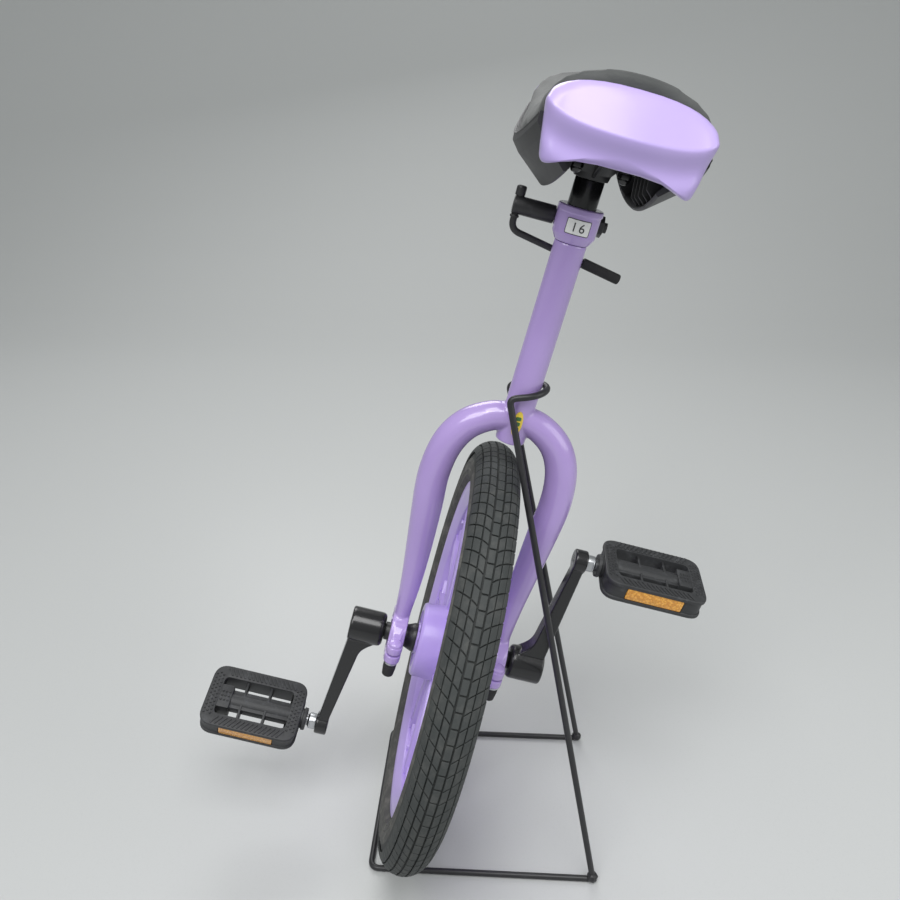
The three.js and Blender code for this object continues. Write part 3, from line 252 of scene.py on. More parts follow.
lavender_paint = sprayed("lavender_paint", (0.435, 0.315, 0.66), (0.405, 0.29, 0.62))
lavender_plastic = dyed_plastic("lavender_plastic", (0.48, 0.355, 0.77), (0.44, 0.325, 0.73))
bumper_plastic = dyed_plastic("bumper_plastic", (0.46, 0.36, 0.70), (0.43, 0.335, 0.67), 0.3)
black_enamel = sprayed("black_enamel", (0.007, 0.007, 0.008), (0.012, 0.012, 0.013), 0.00002, 0.25)


# %% Black coats, rubber and steel
def powder_coat(name, colour):
    f = Finish(name)
    dust = f.noise(0.012, 5, 0.65).between(0.5, 0.75)
    texture = f.noise(0.0007, 2)
    return f.done(base_color=f.mix(dust, colour, [c * 1.7 for c in colour]), roughness=0.38 + dust * 0.14,
                  normal=f.bump(texture, 0.00004))


def grained_plastic(name, colour, grain_size=0.0008, rough=0.52):
    f = Finish(name)
    grain = f.cells(grain_size)
    worn = f.noise(0.009, 5, 0.7).between(0.5, 0.72)
    base = f.mix(worn, colour, [c * 2.1 for c in colour])
    return f.done(base_color=base, roughness=rough + worn * 0.12, normal=f.bump(grain, 0.00006))


def soft_rubber(name, colour, dust_colour, dust_amount=0.5):
    f = Finish(name)
    dust = f.noise(0.014, 6, 0.72).between(0.42, 0.75) * dust_amount
    fine = f.noise(0.0012, 4, 0.6)
    base = f.mix(dust + fine * 0.12, colour, dust_colour)
    return f.done(base_color=base, roughness=0.74 + dust * 0.18, normal=f.bump(fine, 0.00008))


def ground_steel():
    f = Finish("ground_steel")
    lines = f.noise(0.0011, 3, 0.6, (0.06, 1, 1))
    return f.done(base_color=f.mix(lines, (0.42, 0.43, 0.45), (0.66, 0.67, 0.69)), metallic=1.0,
                  roughness=0.24 + lines * 0.2, normal=f.bump(lines, 0.00002))


def vinyl_cover():
    """Leather-cloth: small soft pebbles with creases between them, and a faint lighter bloom."""
    f = Finish("saddle_cover")
    pebbles = f.cells(0.0013, "SMOOTH_F1")
    creases = f.noise(0.006, 4, 0.6)
    bloom = f.noise(0.035, 3).between(0.35, 0.7)
    base = f.mix(bloom, (0.040, 0.043, 0.043), (0.062, 0.066, 0.065))
    return f.done(base_color=base, roughness=0.60 + creases * 0.12, sheen_weight=0.12, sheen_roughness=0.5,
                  normal=f.bump(creases * 0.5, 0.0002, f.bump(pebbles, 0.00012)))


def amber_lens():
    """A reflector's back is moulded in rows of tiny prisms, which show through its smooth front as a grid."""
    f = Finish("amber_lens")
    prisms = f.cells(0.0024)
    glow = prisms.between(0.1, 0.7)
    base = f.mix(glow, (0.80, 0.42, 0.07), (0.55, 0.24, 0.03))
    # The lens also glows faintly amber through emission: painted light standing in for the light its prisms
    # send back.
    return f.done(base_color=base, roughness=0.16 + glow * 0.08, coat_weight=0.6, coat_roughness=0.05,
                  emission_color=(0.55, 0.25, 0.03), emission_strength=0.12,
                  normal=f.bump(prisms, 0.00015))


def printed(name, colour, shade):
    f = Finish(name)
    wear = f.noise(0.002, 4, 0.7)
    return f.done(base_color=f.mix(wear.between(0.5, 0.8), colour, shade), roughness=0.34 + wear * 0.1,
                  normal=f.bump(wear, 0.00001))


black_coat = powder_coat("black_coat", (0.018, 0.018, 0.02))
pedal_plastic = grained_plastic("pedal_plastic", (0.028, 0.029, 0.031))
base_plastic = grained_plastic("base_plastic", (0.022, 0.022, 0.024), 0.0006, 0.48)
tread_rubber = soft_rubber("tread_rubber", (0.034, 0.039, 0.039), (0.10, 0.10, 0.095))
# The groove bottoms get a darker rubber than the tread tops: painted shade for the recesses, with less dust
# there as well.
groove_rubber = soft_rubber("groove_rubber", (0.018, 0.021, 0.021), (0.07, 0.07, 0.065), 0.3)
sidewall_rubber = soft_rubber("sidewall_rubber", (0.05, 0.05, 0.048), (0.17, 0.165, 0.15), 0.7)
black_rubber = soft_rubber("black_rubber", (0.016, 0.016, 0.017), (0.05, 0.05, 0.05), 0.35)
steel = ground_steel()
cover = vinyl_cover()
amber = amber_lens()
label_white = printed("label_white", (0.84, 0.84, 0.84), (0.70, 0.70, 0.71))
label_ink = printed("label_ink", (0.02, 0.02, 0.025), (0.05, 0.05, 0.055))
sticker_yellow = printed("sticker_yellow", (0.80, 0.60, 0.07), (0.66, 0.46, 0.05))
sticker_green = printed("sticker_green", (0.05, 0.16, 0.05), (0.10, 0.22, 0.06))
floor_finish = printed("floor_finish", (0.52, 0.53, 0.53), (0.49, 0.50, 0.50))
print("finishes", len(bpy.data.materials))

# %% Floor, swept up into a backdrop
bed = bmesh.new()
SWEEP = 1.4
angles = [math.radians(9 * k) for k in range(1, 11)]
sweep = [(-30, 0), (1.6, 0)]
sweep += [(1.6 + SWEEP * math.sin(a), SWEEP - SWEEP * math.cos(a)) for a in angles] + [(3, 6)]
rows = [[bed.verts.new((x, y, z)) for y, z in sweep] for x in (-30, 30)]
for k in range(len(sweep) - 1):
    bed.faces.new((rows[0][k], rows[0][k + 1], rows[1][k + 1], rows[1][k])).smooth = True
bmesh.ops.recalc_face_normals(bed, faces=bed.faces)
floor_mesh = bpy.data.meshes.new("floor")
bed.to_mesh(floor_mesh)
floor = bpy.data.objects.new("floor", floor_mesh)
floor.location.z = cad_box[0][2]
floor_mesh.materials.append(floor_finish)
bpy.context.scene.collection.objects.link(floor)

# %% [markdown]
# ## Ways to shape a piece
# Most of a unicycle is turned, drawn out or swept. `lathe` turns a profile, `plate` draws an outline out
# along an axis, and `bar` sweeps a circle along a line. Corners are eased first, in the outline, where that
# is one line of arithmetic, and welded joints are melted together with a voxel remesh, which leaves a soft
# fillet.


# %% Outlines
def eased(points, radius, steps=4, closed=True):
    """The outline with each corner rounded. A corner may carry a radius of its own as a last number."""
    count = len(points)
    size = 3 if len(points[0]) >= 3 and isinstance(points[0], Vector) else 2
    spots = [Vector(p[:size]) for p in points]
    result = []
    for i, spot in enumerate(spots):
        if not closed and i in (0, count - 1):
            result.append(spot)
            continue
        reach = radius if len(points[i]) <= size else points[i][size]
        back = spots[i - 1] - spot
        on = spots[(i + 1) % count] - spot
        half = max(back.angle(on) / 2, 0.05)
        reach = min(reach / math.tan(half), back.length * 0.48, on.length * 0.48)
        if reach < 1e-4:
            result.append(spot)
            continue
        start = spot + back.normalized() * reach
        end = spot + on.normalized() * reach
        for k in range(steps + 1):
            t = k / steps
            result.append(start.lerp(spot, t).lerp(spot.lerp(end, t), t))
    return result


def arc(centre, radius, first, last, steps):
    """Points on an arc, with its angles in degrees."""
    angles = [math.radians(first + (last - first) * k / steps) for k in range(steps + 1)]
    return [(centre[0] + radius * math.cos(a), centre[1] + radius * math.sin(a)) for a in angles]


# %% Lathe, plate and bar
def lathe(profile, segments=64, axis="X", closed=False):
    """Turned from [radius, along] points about X or Z. A closed profile makes a ring."""
    shape = bmesh.new()
    at = (lambda r, s: (s, 0, r)) if axis == "X" else (lambda r, s: (r, 0, s))
    spots = [shape.verts.new(at(r, s)) for r, s in profile]
    ends = spots[1:] + (spots[:1] if closed else [])
    edges = [shape.edges.new(pair) for pair in zip(spots, ends)]
    turn = (1, 0, 0) if axis == "X" else (0, 0, 1)
    bmesh.ops.spin(shape, geom=spots + edges, cent=(0, 0, 0), axis=turn, angle=2 * math.pi,
                   steps=segments, use_merge=True)
    bmesh.ops.remove_doubles(shape, verts=shape.verts, dist=1e-3)
    bmesh.ops.recalc_face_normals(shape, faces=shape.faces)
    return shape


def plate(outline, low, high, axis="X", ease=0.0, segments=2):
    """An outline (a, b) in the plane across an axis, drawn out along it, with its rims eased."""
    shape = bmesh.new()
    order = {"X": lambda a, b: (low, a, b), "Y": lambda a, b: (a, low, b),
             "Z": lambda a, b: (a, b, low)}[axis]
    face = shape.faces.new([shape.verts.new(order(p[0], p[1])) for p in outline])
    grown = bmesh.ops.extrude_face_region(shape, geom=[face])
    far = [g for g in grown["geom"] if isinstance(g, bmesh.types.BMVert)]
    step = Vector([high - low if name == axis else 0 for name in "XYZ"])
    bmesh.ops.translate(shape, verts=far, vec=step)
    bmesh.ops.recalc_face_normals(shape, faces=shape.faces)
    if ease:
        rims = [e for e in shape.edges if len(e.link_faces) == 2
                and max(len(f.verts) for f in e.link_faces) == len(outline)]
        bmesh.ops.bevel(shape, geom=rims, offset=ease, segments=segments, profile=0.5, affect="EDGES",
                        material=-1, clamp_overlap=True)
    return shape


def block(low, high, ease=0.0, segments=2):
    """A box between two corners, its edges eased."""
    shape = bmesh.new()
    bmesh.ops.create_cube(shape, size=1)
    low, high = Vector(low), Vector(high)
    bmesh.ops.scale(shape, verts=shape.verts, vec=high - low)
    bmesh.ops.translate(shape, verts=shape.verts, vec=(low + high) / 2)
    if ease:
        bmesh.ops.bevel(shape, geom=shape.edges, offset=ease, segments=segments, profile=0.5,
                        affect="EDGES", material=-1, clamp_overlap=True)
    return shape


def bar(points, radii, sides=20, squash=1.0):
    """A round bar along a line of points, one radius for all or one for each, closed at both ends."""
    spots = [Vector(p) for p in points]
    radii = radii if hasattr(radii, "__len__") else [radii] * len(spots)
    shape = bmesh.new()
    previous = None
    across = None
    for i, spot in enumerate(spots):
        ahead = (spots[min(i + 1, len(spots) - 1)] - spots[max(i - 1, 0)]).normalized()
        guide = across if across else (Vector((0, 1, 0)) if abs(ahead.y) < 0.9 else Vector((1, 0, 0)))
        across = (guide - ahead * guide.dot(ahead)).normalized()
        facing = Matrix((across, ahead.cross(across) * squash, ahead)).transposed().to_4x4()
        ring = bmesh.ops.create_circle(shape, segments=sides, radius=radii[i],
                                       matrix=Matrix.Translation(spot) @ facing)["verts"]
        loop = list({e for v in ring for e in v.link_edges})
        if previous:
            bmesh.ops.bridge_loops(shape, edges=previous + loop)
        previous = loop
    bmesh.ops.holes_fill(shape, edges=shape.edges, sides=sides)
    bmesh.ops.recalc_face_normals(shape, faces=shape.faces)
    return shape


# %% Move, copy and gather
def moved(shape, x=0.0, y=0.0, z=0.0):
    bmesh.ops.translate(shape, verts=shape.verts, vec=(x, y, z))
    return shape


def turned(shape, degrees, axis="X"):
    bmesh.ops.rotate(shape, verts=shape.verts, cent=(0, 0, 0),
                     matrix=Matrix.Rotation(math.radians(degrees), 3, axis))
    return shape


def mirrored(shape, side):
    """The same piece for the left side where side is -1."""
    if side < 0:
        bmesh.ops.scale(shape, verts=shape.verts, vec=(-1, 1, 1))
        bmesh.ops.reverse_faces(shape, faces=shape.faces)
    return shape


def gathered(shapes):
    """Several shapes in one."""
    whole = bmesh.new()
    for shape in shapes:
        mesh = bpy.data.meshes.new("part")
        shape.to_mesh(mesh)
        whole.from_mesh(mesh)
        bpy.data.meshes.remove(mesh)
        shape.free()
    return whole


# %% Loose objects, booleans and the voxel weld
def loose(shape, name="part"):
    mesh = bpy.data.meshes.new(name)
    shape.to_mesh(mesh)
    shape.free()
    made = bpy.data.objects.new(name, mesh)
    bpy.context.scene.collection.objects.link(made)
    return made


def settled(piece):
    """Applies a piece's modifiers to its mesh."""
    bpy.context.view_layer.update()
    graph = bpy.context.evaluated_depsgraph_get()
    mesh = bpy.data.meshes.new_from_object(piece.evaluated_get(graph))
    piece.modifiers.clear()
    old, piece.data = piece.data, mesh
    bpy.data.meshes.remove(old)
    return piece


def combined(shape, others, operation):
    """A shape joined with others, or cut by them, with exact booleans."""
    piece = shape if isinstance(shape, bpy.types.Object) else loose(shape)
    for other in others:
        tool = loose(other, "tool")
        step = piece.modifiers.new("step", "BOOLEAN")
        step.operation = operation
        step.solver = "EXACT"
        step.object = tool
        settled(piece)
        bpy.data.objects.remove(tool)
    return piece


def cut(shape, *tools):
    return combined(shape, tools, "DIFFERENCE")


def joined(shape, *others):
    return combined(shape, others, "UNION")


def welded(shapes, grain, melt=6, strength=0.5):
    """Shapes that overlap, melted into one skin whose inner corners are soft, in millimetres."""
    piece = loose(gathered(shapes), "weld")
    remesh = piece.modifiers.new("remesh", "REMESH")
    remesh.mode = "VOXEL"
    remesh.voxel_size = grain
    smooth = piece.modifiers.new("smooth", "SMOOTH")
    smooth.factor = strength
    smooth.iterations = melt
    return settled(piece)


def softened(piece, width, segments=2, angle=35):
    """Bevels the corners that are sharper than the angle."""
    step = piece.modifiers.new("bevel", "BEVEL")
    step.width = width
    step.segments = segments
    step.limit_method = "ANGLE"
    step.angle_limit = math.radians(angle)
    step.use_clamp_overlap = True
    return settled(piece)


# %% Finish a piece
def finished(shape, name, body, finish, replaces=(), space=OWN, sharp=32):
    """Puts a shape in its place in the mesh itself, shades it, and hands it to its CAD body."""
    piece = shape if isinstance(shape, bpy.types.Object) else loose(shape)
    piece.name = name
    piece.data.name = name
    piece.data.transform(space)
    finishes = list(finish) if isinstance(finish, (list, tuple)) else [finish]
    chosen = [min(face.material_index, len(finishes) - 1) for face in piece.data.polygons]
    piece.data.materials.clear()
    for one in finishes:
        piece.data.materials.append(one)
    # Clearing the list had set each face to the first finish.
    piece.data.polygons.foreach_set("material_index", chosen)
    piece.data.shade_smooth()
    piece.data.set_sharp_from_angle(angle=math.radians(sharp))
    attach(piece, body)
    if replaces:
        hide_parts(*replaces)
    return piece


def marked(shape, index, test=lambda face: True):
    """Gives the faces that pass a test the material with that index."""
    for face in shape.faces:
        if test(face):
            face.material_index = index
    return shape

# %% [markdown]
# ## The frame
# The frame is one weldment: a seat tube, two bent legs that thin towards the wheel, and half a bearing
# housing under each. Real welds are smoothed by the paint, so the parts are drawn as closed bars and plates
# that run into each other, and a voxel remesh with a few passes of smoothing turns their seams into fillets.

# %% The fork's lines
tube_low, tube_high = own_box("seat_tube")
TUBE_RADIUS = tube_high.x
HOUSING_LOW, HOUSING_HIGH = own_box("bearing_seat_right")
BEARING_X = (HOUSING_LOW.x + HOUSING_HIGH.x) / 2
BEARING_RADIUS = own_box("bearing_right")[1].z
CROWN_Z = tube_low.z + 21
SHOULDER_X = 54.5
FOOT_Z = 30


def flowing(points, steps=8):
    """A smooth line through the points, as Catmull and Rom drew it."""
    spots = [Vector(p) for p in points]
    line = []
    for i in range(len(spots) - 1):
        a, b, c, d = spots[max(i - 1, 0)], spots[i], spots[i + 1], spots[min(i + 2, len(spots) - 1)]
        for k in range(steps):
            t = k / steps
            line.append(0.5 * (2 * b + (c - a) * t + (2 * a - 5 * b + 4 * c - d) * t * t
                               + (3 * b - a - 3 * c + d) * t ** 3))
    return line + [spots[-1]]


def leg():
    line = flowing([
        (0, 0, CROWN_Z), (20, 0, CROWN_Z - 4), (SHOULDER_X - 16, 0, CROWN_Z - 17),
        (SHOULDER_X - 4.5, 0, CROWN_Z - 38), (SHOULDER_X, 0, CROWN_Z - 68),
        (SHOULDER_X - 2, 0, CROWN_Z - 105),
        (BEARING_X + 1.4, 0, CROWN_Z - 148), (BEARING_X, 0, FOOT_Z + 30), (BEARING_X, 0, FOOT_Z - 7),
    ])
    taper_top = CROWN_Z - 90
    radii = []
    for spot in line:
        down = min(max((taper_top - spot.z) / (taper_top - FOOT_Z), 0), 1)
        radii.append(11.8 + 2 * min(spot.x / BEARING_X, 1) - 6.1 * down ** 1.3)
    return bar(line, radii, 40)


def housing_half(way):
    """Half of a split bearing housing: way is 1 for the upper half, and -1 for the lower."""
    bore, wall, split, ear = BEARING_RADIUS + 0.3, BEARING_RADIUS + 3.9, 0.8, 8
    outer = arc((0, 0), wall, 2, 178, 40)
    inner = arc((0, 0), bore, 177.7, 2.3, 40)
    low, high = HOUSING_LOW.x, HOUSING_HIGH.x
    shapes = [plate([(y, z * way) for y, z in outer + inner], low, high, "X")]
    for end in ENDS.values():
        tab = [(low, end * 21.5), (low, end * 29)]
        tab += [(x, end * y) for x, y in arc((BEARING_X, 29), (high - low) / 2, 180, 0, 16)[1:-1]]
        tab += [(high, end * 29), (high, end * 21.5)]
        shapes.append(plate(tab, *sorted((way * split, way * (split + ear))), "Z", 0.8))
        corners = [(end * 20.6, way * 7), (end * 27, way * 7), (end * 21, way * 15), (end * 15, way * 19)]
        gusset = plate(corners, low + 3, high - 3, "X")
        shapes.append(gusset)
    return shapes


# %% Weld the frame
seat_tube = lathe([(0, tube_low.z + 7), (TUBE_RADIUS - 2.3, tube_low.z + 7), (TUBE_RADIUS - 2.3, tube_low.z),
                   (TUBE_RADIUS, tube_low.z), (TUBE_RADIUS, tube_high.z), (0, tube_high.z)], 72, "Z")
weldment = [seat_tube]
for side in SIDES.values():
    weldment.append(mirrored(leg(), side))
    weldment += [mirrored(moved(shape), side) for shape in housing_half(1)]
frame_weld = welded(weldment, 0.95, 5)
finished(frame_weld, "fork_frame", "frame", lavender_paint,
         ["seat_tube", "fork_leg_left", "fork_leg_right", "bearing_seat_left", "bearing_seat_right"])
print("frame weld", len(frame_weld.data.polygons), "faces")

# %% Housing caps, bolts and bearings
for name, side in SIDES.items():
    cap = welded([mirrored(shape, side) for shape in housing_half(-1)], 0.6, 3)
    finished(cap, f"housing_cap_{name}", "frame", lavender_paint, [f"bearing_cap_{name}"])
    half = 6
    ring = lathe(eased([(8.8, -half), (12.5, -half), (13, -half + 1), (17, -half + 1), (17.5, -half),
                        (20, -half), (20, half), (17.5, half), (17, half - 1), (13, half - 1), (12.5, half),
                        (8.8, half)], 0.4, 2), 64, "X", True)
    finished(mirrored(moved(ring, BEARING_X), side), f"ball_bearing_{name}", "frame", steel,
             [f"bearing_{name}"])
    for where, end in ENDS.items():
        spot = {"x": BEARING_X * side, "y": 29 * end}
        low, high = own_box(f"cap_bolt_{name}_{where}")
        dome_foot = high.z - 4.5
        dome = [(0, high.z), *[(6.4 * math.cos(a), dome_foot + 1.4 + 3.1 * math.sin(a))
                for a in [math.radians(90 - 9 * k) for k in range(1, 11)]], (6.4, dome_foot), (0, dome_foot)]
        shank = [(0, low.z), (2.9, low.z), (2.9, dome_foot), (0, dome_foot)]
        washer = [(0, low.z + 5.9), (6.1, low.z + 5.9), (6.3, low.z + 6.2), (6.3, low.z + 7.7),
                  (0, low.z + 8)]
        bolt = gathered([moved(lathe(p, 32, "Z"), **spot) for p in (dome, shank)])
        finished(bolt, f"dome_bolt_{name}_{where}", "frame", lavender_paint,
                 [f"cap_bolt_{name}_{where}"])
        finished(moved(lathe(washer, 32, "Z"), **spot), f"bolt_washer_{name}_{where}", "frame",
                 steel)
        low, high = own_box(f"bolt_tip_{name}_{where}")
        sock = eased([(0, low.z), (5.2, low.z, 1.2), (6, low.z + 8), (6.1, high.z - 3), (5.7, high.z - 2.6),
                      (5.7, high.z - 2), (6.1, high.z - 1.6), (6.1, high.z), (0, high.z)], 0.3, 3, False)
        finished(moved(lathe(sock, 32, "Z"), **spot), f"rubber_tip_{name}_{where}", "frame",
                 black_rubber, [f"bolt_tip_{name}_{where}"])

# %% [markdown]
# ## Collar, label and clamp
# The collar is a machined ring with two lugs and a slit, so it is cut with booleans and its corners bevelled.
# The size label is printed film wrapped round it. A flat drawing is cut into narrow strips and then rolled
# on to the cylinder, because a flat glyph would cut straight through the round face.

# %% Collar
collar_low, collar_high = own_box("seat_collar")
COLLAR_RADIUS = collar_high.x
COLLAR_MIDDLE = (collar_low.z + collar_high.z) / 2
CLAMP_Y = 21
ring = lathe(eased([(0, collar_low.z), (TUBE_RADIUS + 0.2, collar_low.z),
                    (TUBE_RADIUS + 1.2, collar_low.z + 1), (COLLAR_RADIUS - 0.8, collar_low.z + 6),
                    (COLLAR_RADIUS - 0.8, collar_high.z - 5.4),
                    (COLLAR_RADIUS, collar_high.z - 4.4), (COLLAR_RADIUS, collar_high.z - 0.6),
                    (COLLAR_RADIUS - 1.2, collar_high.z), (0, collar_high.z)], 1.2, 3, False), 96, "Z")
lugs = block((-15.5, 4, COLLAR_MIDDLE - 9), (15.5, CLAMP_Y + 7, COLLAR_MIDDLE + 9), 3.2, 4)
bore = lathe([(0, collar_low.z - 1), (11.4, collar_low.z - 1), (11.4, collar_high.z + 1),
              (0, collar_high.z + 1)], 72, "Z")
slit = block((-1.5, 2, collar_low.z - 1), (1.5, CLAMP_Y + 20, collar_high.z + 1))
collar = softened(cut(joined(ring, lugs), bore, slit), 0.5, 2, 40)
finished(collar, "seat_collar_ring", "frame", lavender_paint, ["seat_collar"])


# %% Label and sticker
def rolled(shape, radius, strips=0.9):
    """Bends a flat piece, drawn in (x, z) with its thickness on -Y, round the Z axis at that radius."""
    left = min(v.co.x for v in shape.verts)
    right = max(v.co.x for v in shape.verts)
    for k in range(1, int((right - left) / strips) + 1):
        bmesh.ops.bisect_plane(shape, geom=shape.verts[:] + shape.edges[:] + shape.faces[:],
                               plane_co=(left + k * strips, 0, 0), plane_no=(1, 0, 0))
    for v in shape.verts:
        turn, reach = v.co.x / radius, radius - v.co.y
        v.co.x, v.co.y = reach * math.sin(turn), -reach * math.cos(turn)
    return shape


def rounded_box(width, height, radius, middle):
    corners = [(-width / 2, middle - height / 2), (width / 2, middle - height / 2),
               (width / 2, middle + height / 2), (-width / 2, middle + height / 2)]
    return eased(corners, radius, 5)


LABEL_WIDTH, LABEL_HEIGHT = 19.0, 11.5
label_radius = COLLAR_RADIUS - 0.8
backing = plate(rounded_box(LABEL_WIDTH, LABEL_HEIGHT, 1.4, COLLAR_MIDDLE), -0.25, 0.1, "Y")
face = plate(rounded_box(LABEL_WIDTH - 1.1, LABEL_HEIGHT - 1.1, 1.0, COLLAR_MIDDLE), -0.32, 0, "Y")
label = gathered([marked(rolled(backing, label_radius), 1), rolled(face, label_radius)])
digits_data = bpy.data.curves.new("digits", "FONT")
digits_data.body = "16"
digits_data.size = 9.4
digits_data.space_character = 1.25
digits_data.align_x = "CENTER"
digits_data.extrude = 0.06
digits = bpy.data.objects.new("digits", digits_data)
bpy.context.scene.collection.objects.link(digits)
ink = bmesh.new()
bpy.context.view_layer.update()
ink.from_mesh(bpy.data.meshes.new_from_object(digits.evaluated_get(bpy.context.evaluated_depsgraph_get())))
bpy.data.objects.remove(digits)
bmesh.ops.rotate(ink, verts=ink.verts, cent=(0, 0, 0), matrix=Matrix.Rotation(math.pi / 2, 3, "X"))
moved(ink, 0, -0.38, COLLAR_MIDDLE - 3.3)
label = gathered([label, marked(rolled(ink, label_radius), 1)])
finished(label, "size_label_film", "frame", [label_white, label_ink], ["size_label"])

badge_low, badge_high = own_box("crown_badge")
badge_z = (badge_low.z + badge_high.z) / 2
oval = plate([(4.6 * math.cos(a) * 0.9 + 0.4, badge_z + 11 * math.sin(a))
              for a in [math.radians(10 * k) for k in range(36)]], -0.3, 0.2, "Y")
bars = [plate(rounded_box(4.4, 3.4, 1.2, badge_z + shift), -0.42, 0, "Y") for shift in (4.6, 0, -4.6)]
sticker = gathered([rolled(oval, TUBE_RADIUS + 0.35)]
                   + [marked(rolled(moved(one, 0.4), TUBE_RADIUS + 0.35), 1) for one in bars])
finished(sticker, "crown_sticker", "frame", [sticker_yellow, sticker_green], ["crown_badge"])

# %% Clamp screw, bar and nut
LUG_FACE = 15.8
barrel_low = own_box("clamp_bolt")[0]
BARREL_END = barrel_low.x
BAR_X = -45.5
barrel = lathe(eased([(0, BARREL_END), (7, BARREL_END, 0.9), (7, -LUG_FACE, 0.9), (4.2, -LUG_FACE - 0.01),
                      (4.0, 26), (0, 26)], 0.5, 3, False), 64)
socket = lathe([(0, BARREL_END - 1), (3.2, BARREL_END - 1), (3.2, BARREL_END + 3), (0, BARREL_END + 4)], 6)
barrel = softened(cut(barrel, socket), 0.25, 2, 40)
barrel.data.transform(Matrix.Translation((0, CLAMP_Y, COLLAR_MIDDLE)))
finished(barrel, "clamp_barrel", "clamp_screw", black_coat, ["clamp_bolt"])
nut_section = eased([(4.1, LUG_FACE), (8.3, LUG_FACE), (8.3, LUG_FACE + 7), (4.1, LUG_FACE + 7)], 0.3, 2)
nut = lathe(nut_section, 6, "X", True)
collar_nut = softened(loose(moved(nut, 0, CLAMP_Y, COLLAR_MIDDLE)), 0.6, 3, 30)
finished(collar_nut, "clamp_hex_nut", "frame", black_coat, ["clamp_nut"])
droop = math.radians(10)
along = Vector((math.cos(droop), 0, -math.sin(droop)))
corner = Vector((BAR_X, CLAMP_Y, COLLAR_MIDDLE - 19))
tip = corner + along * 92
top = Vector((BAR_X, CLAMP_Y, COLLAR_MIDDLE + 14))
rod_line = eased([top, corner, tip], 9, 12, False)
pins = [bar(rod_line, 2.7, 28)]
for foot, height, reach in ((7.1, 7.6, 3.9), (-9.4, 2.0, 3.6)):
    stub = eased([(0, foot), (reach, foot, 0.6), (reach, foot + height, 1.6), (0, foot + height)], 0.3, 4,
                 False)
    pins.append(moved(lathe(stub, 32, "Z"), BAR_X, CLAMP_Y, COLLAR_MIDDLE))
finished(gathered(pins), "clamp_tommy_bar", "clamp_screw", black_coat, ["clamp_bar"])
sleeve = eased([(0, -3.4), (4.1, -3.4, 2.6), (4.1, 29), (3.2, 29.6), (0, 29.6)], 0.4, 5, False)
grip = lathe(sleeve, 40)
bmesh.ops.rotate(grip, verts=grip.verts, cent=(0, 0, 0), matrix=Matrix.Rotation(math.pi + droop, 3, "Y"))
finished(moved(grip, *tip), "bar_sleeve", "clamp_screw", black_rubber, ["bar_grip"])

# %% [markdown]
# ## The tyre
# A street tyre is a smooth carcass with a thin layer of blocks on it. One pitch of the tread is drawn flat,
# as the mould maker draws it: a block on the centre line, and on each side three curved blocks that lean back
# towards the shoulder like fish scales. Each is raised and eased, then rolled on to the tyre and repeated.

# %% Tyre sizes
TYRE_RADIUS = own_box("tyre")[1].x
TYRE_CENTRE = WHEEL_RADIUS - TYRE_RADIUS
RIM_BED = 152.5
PITCHES = 102
PITCH = 2 * math.pi * WHEEL_RADIUS / PITCHES
TREAD_DEPTH = 1.9
GROOVE = 1.25
BLOCK_HALF = 2.8
SIPE_LAG = 15
ROWS = ((4.3, 9.4), (10.6, 17.2), (18.5, 26.5))


def on_tyre(along, across, height=0.0):
    """A point of the flat tread, rolled on to the tyre: along its rim, across from its middle, and up."""
    turn, tilt = along / WHEEL_RADIUS, across / TYRE_RADIUS
    reach = TYRE_CENTRE + (TYRE_RADIUS + height) * math.cos(tilt)
    return Vector(((TYRE_RADIUS + height) * math.sin(tilt), reach * math.cos(turn), reach * math.sin(turn)))


# %% Carcass and sidewalls
def carcass():
    """The tyre under its tread, with the thin ridges that a mould leaves on the sidewalls."""
    skin = TYRE_RADIUS - TREAD_DEPTH
    profile = [(TYRE_CENTRE + skin * math.cos(a), skin * math.sin(a))
               for a in [math.radians(-100 + 5 * k) for k in range(41)]]
    wall = []
    for radius, side_x in ((179, 19.6), (176.5, 20.4), (175.8, 21.0), (174.6, 21.0), (174, 20.5), (169, 20.0),
                           (168.4, 20.5), (167.4, 20.5), (166.8, 19.9), (164, 19.0), (163.4, 19.4),
                           (162.6, 19.3), (162.0, 18.2), (159.5, 15.8), (158.0, 12.4), (153.2, 12.4)):
        wall.append((radius, side_x))
    lining = [(155.0, 9.0), (162, 14.0), (170, 16.6), (182, 16), (192, 10), (195, 0)]
    outside = [(r, -x) for r, x in reversed(wall)] + profile[10:31] + wall
    inside = lining + [(r, -x) for r, x in reversed(lining[:-1])]
    return lathe(outside + inside, 180, "X", True)


# %% Tread
def tread_block(outline, lift=TREAD_DEPTH):
    """One block of the tread: a flat outline of (along, across) points, cut across so that it can bend."""
    block_shape = plate(outline, 0, lift, "Z", 0.3, 1)
    for across in (-22.5, -14, -7, 0, 7, 14, 22.5):
        bmesh.ops.bisect_plane(block_shape, geom=block_shape.verts[:] + block_shape.edges[:]
                               + block_shape.faces[:], plane_co=(0, across, 0), plane_no=(0, 1, 0))
    for v in block_shape.verts:
        v.co = on_tyre(v.co.x, v.co.y, v.co.z - TREAD_DEPTH - 0.05)
    return block_shape


def swept_back(across):
    """How far the sipes lag behind the middle: steeply beside the centre blocks, hardly at the shoulder."""
    return -SIPE_LAG * (max(abs(across) - BLOCK_HALF, 0) / 25) ** 0.6


def curved_block(inner, outer, start, end, side):
    """A block between two lines round the tyre, whose ends follow the curve of the sipes."""
    steps = 4
    rows = [inner + (outer - inner) * k / steps for k in range(steps + 1)]
    near = [(start + swept_back(a), side * a) for a in rows]
    far = [(end + swept_back(a), side * a) for a in reversed(rows)]
    return tread_block(near + far)


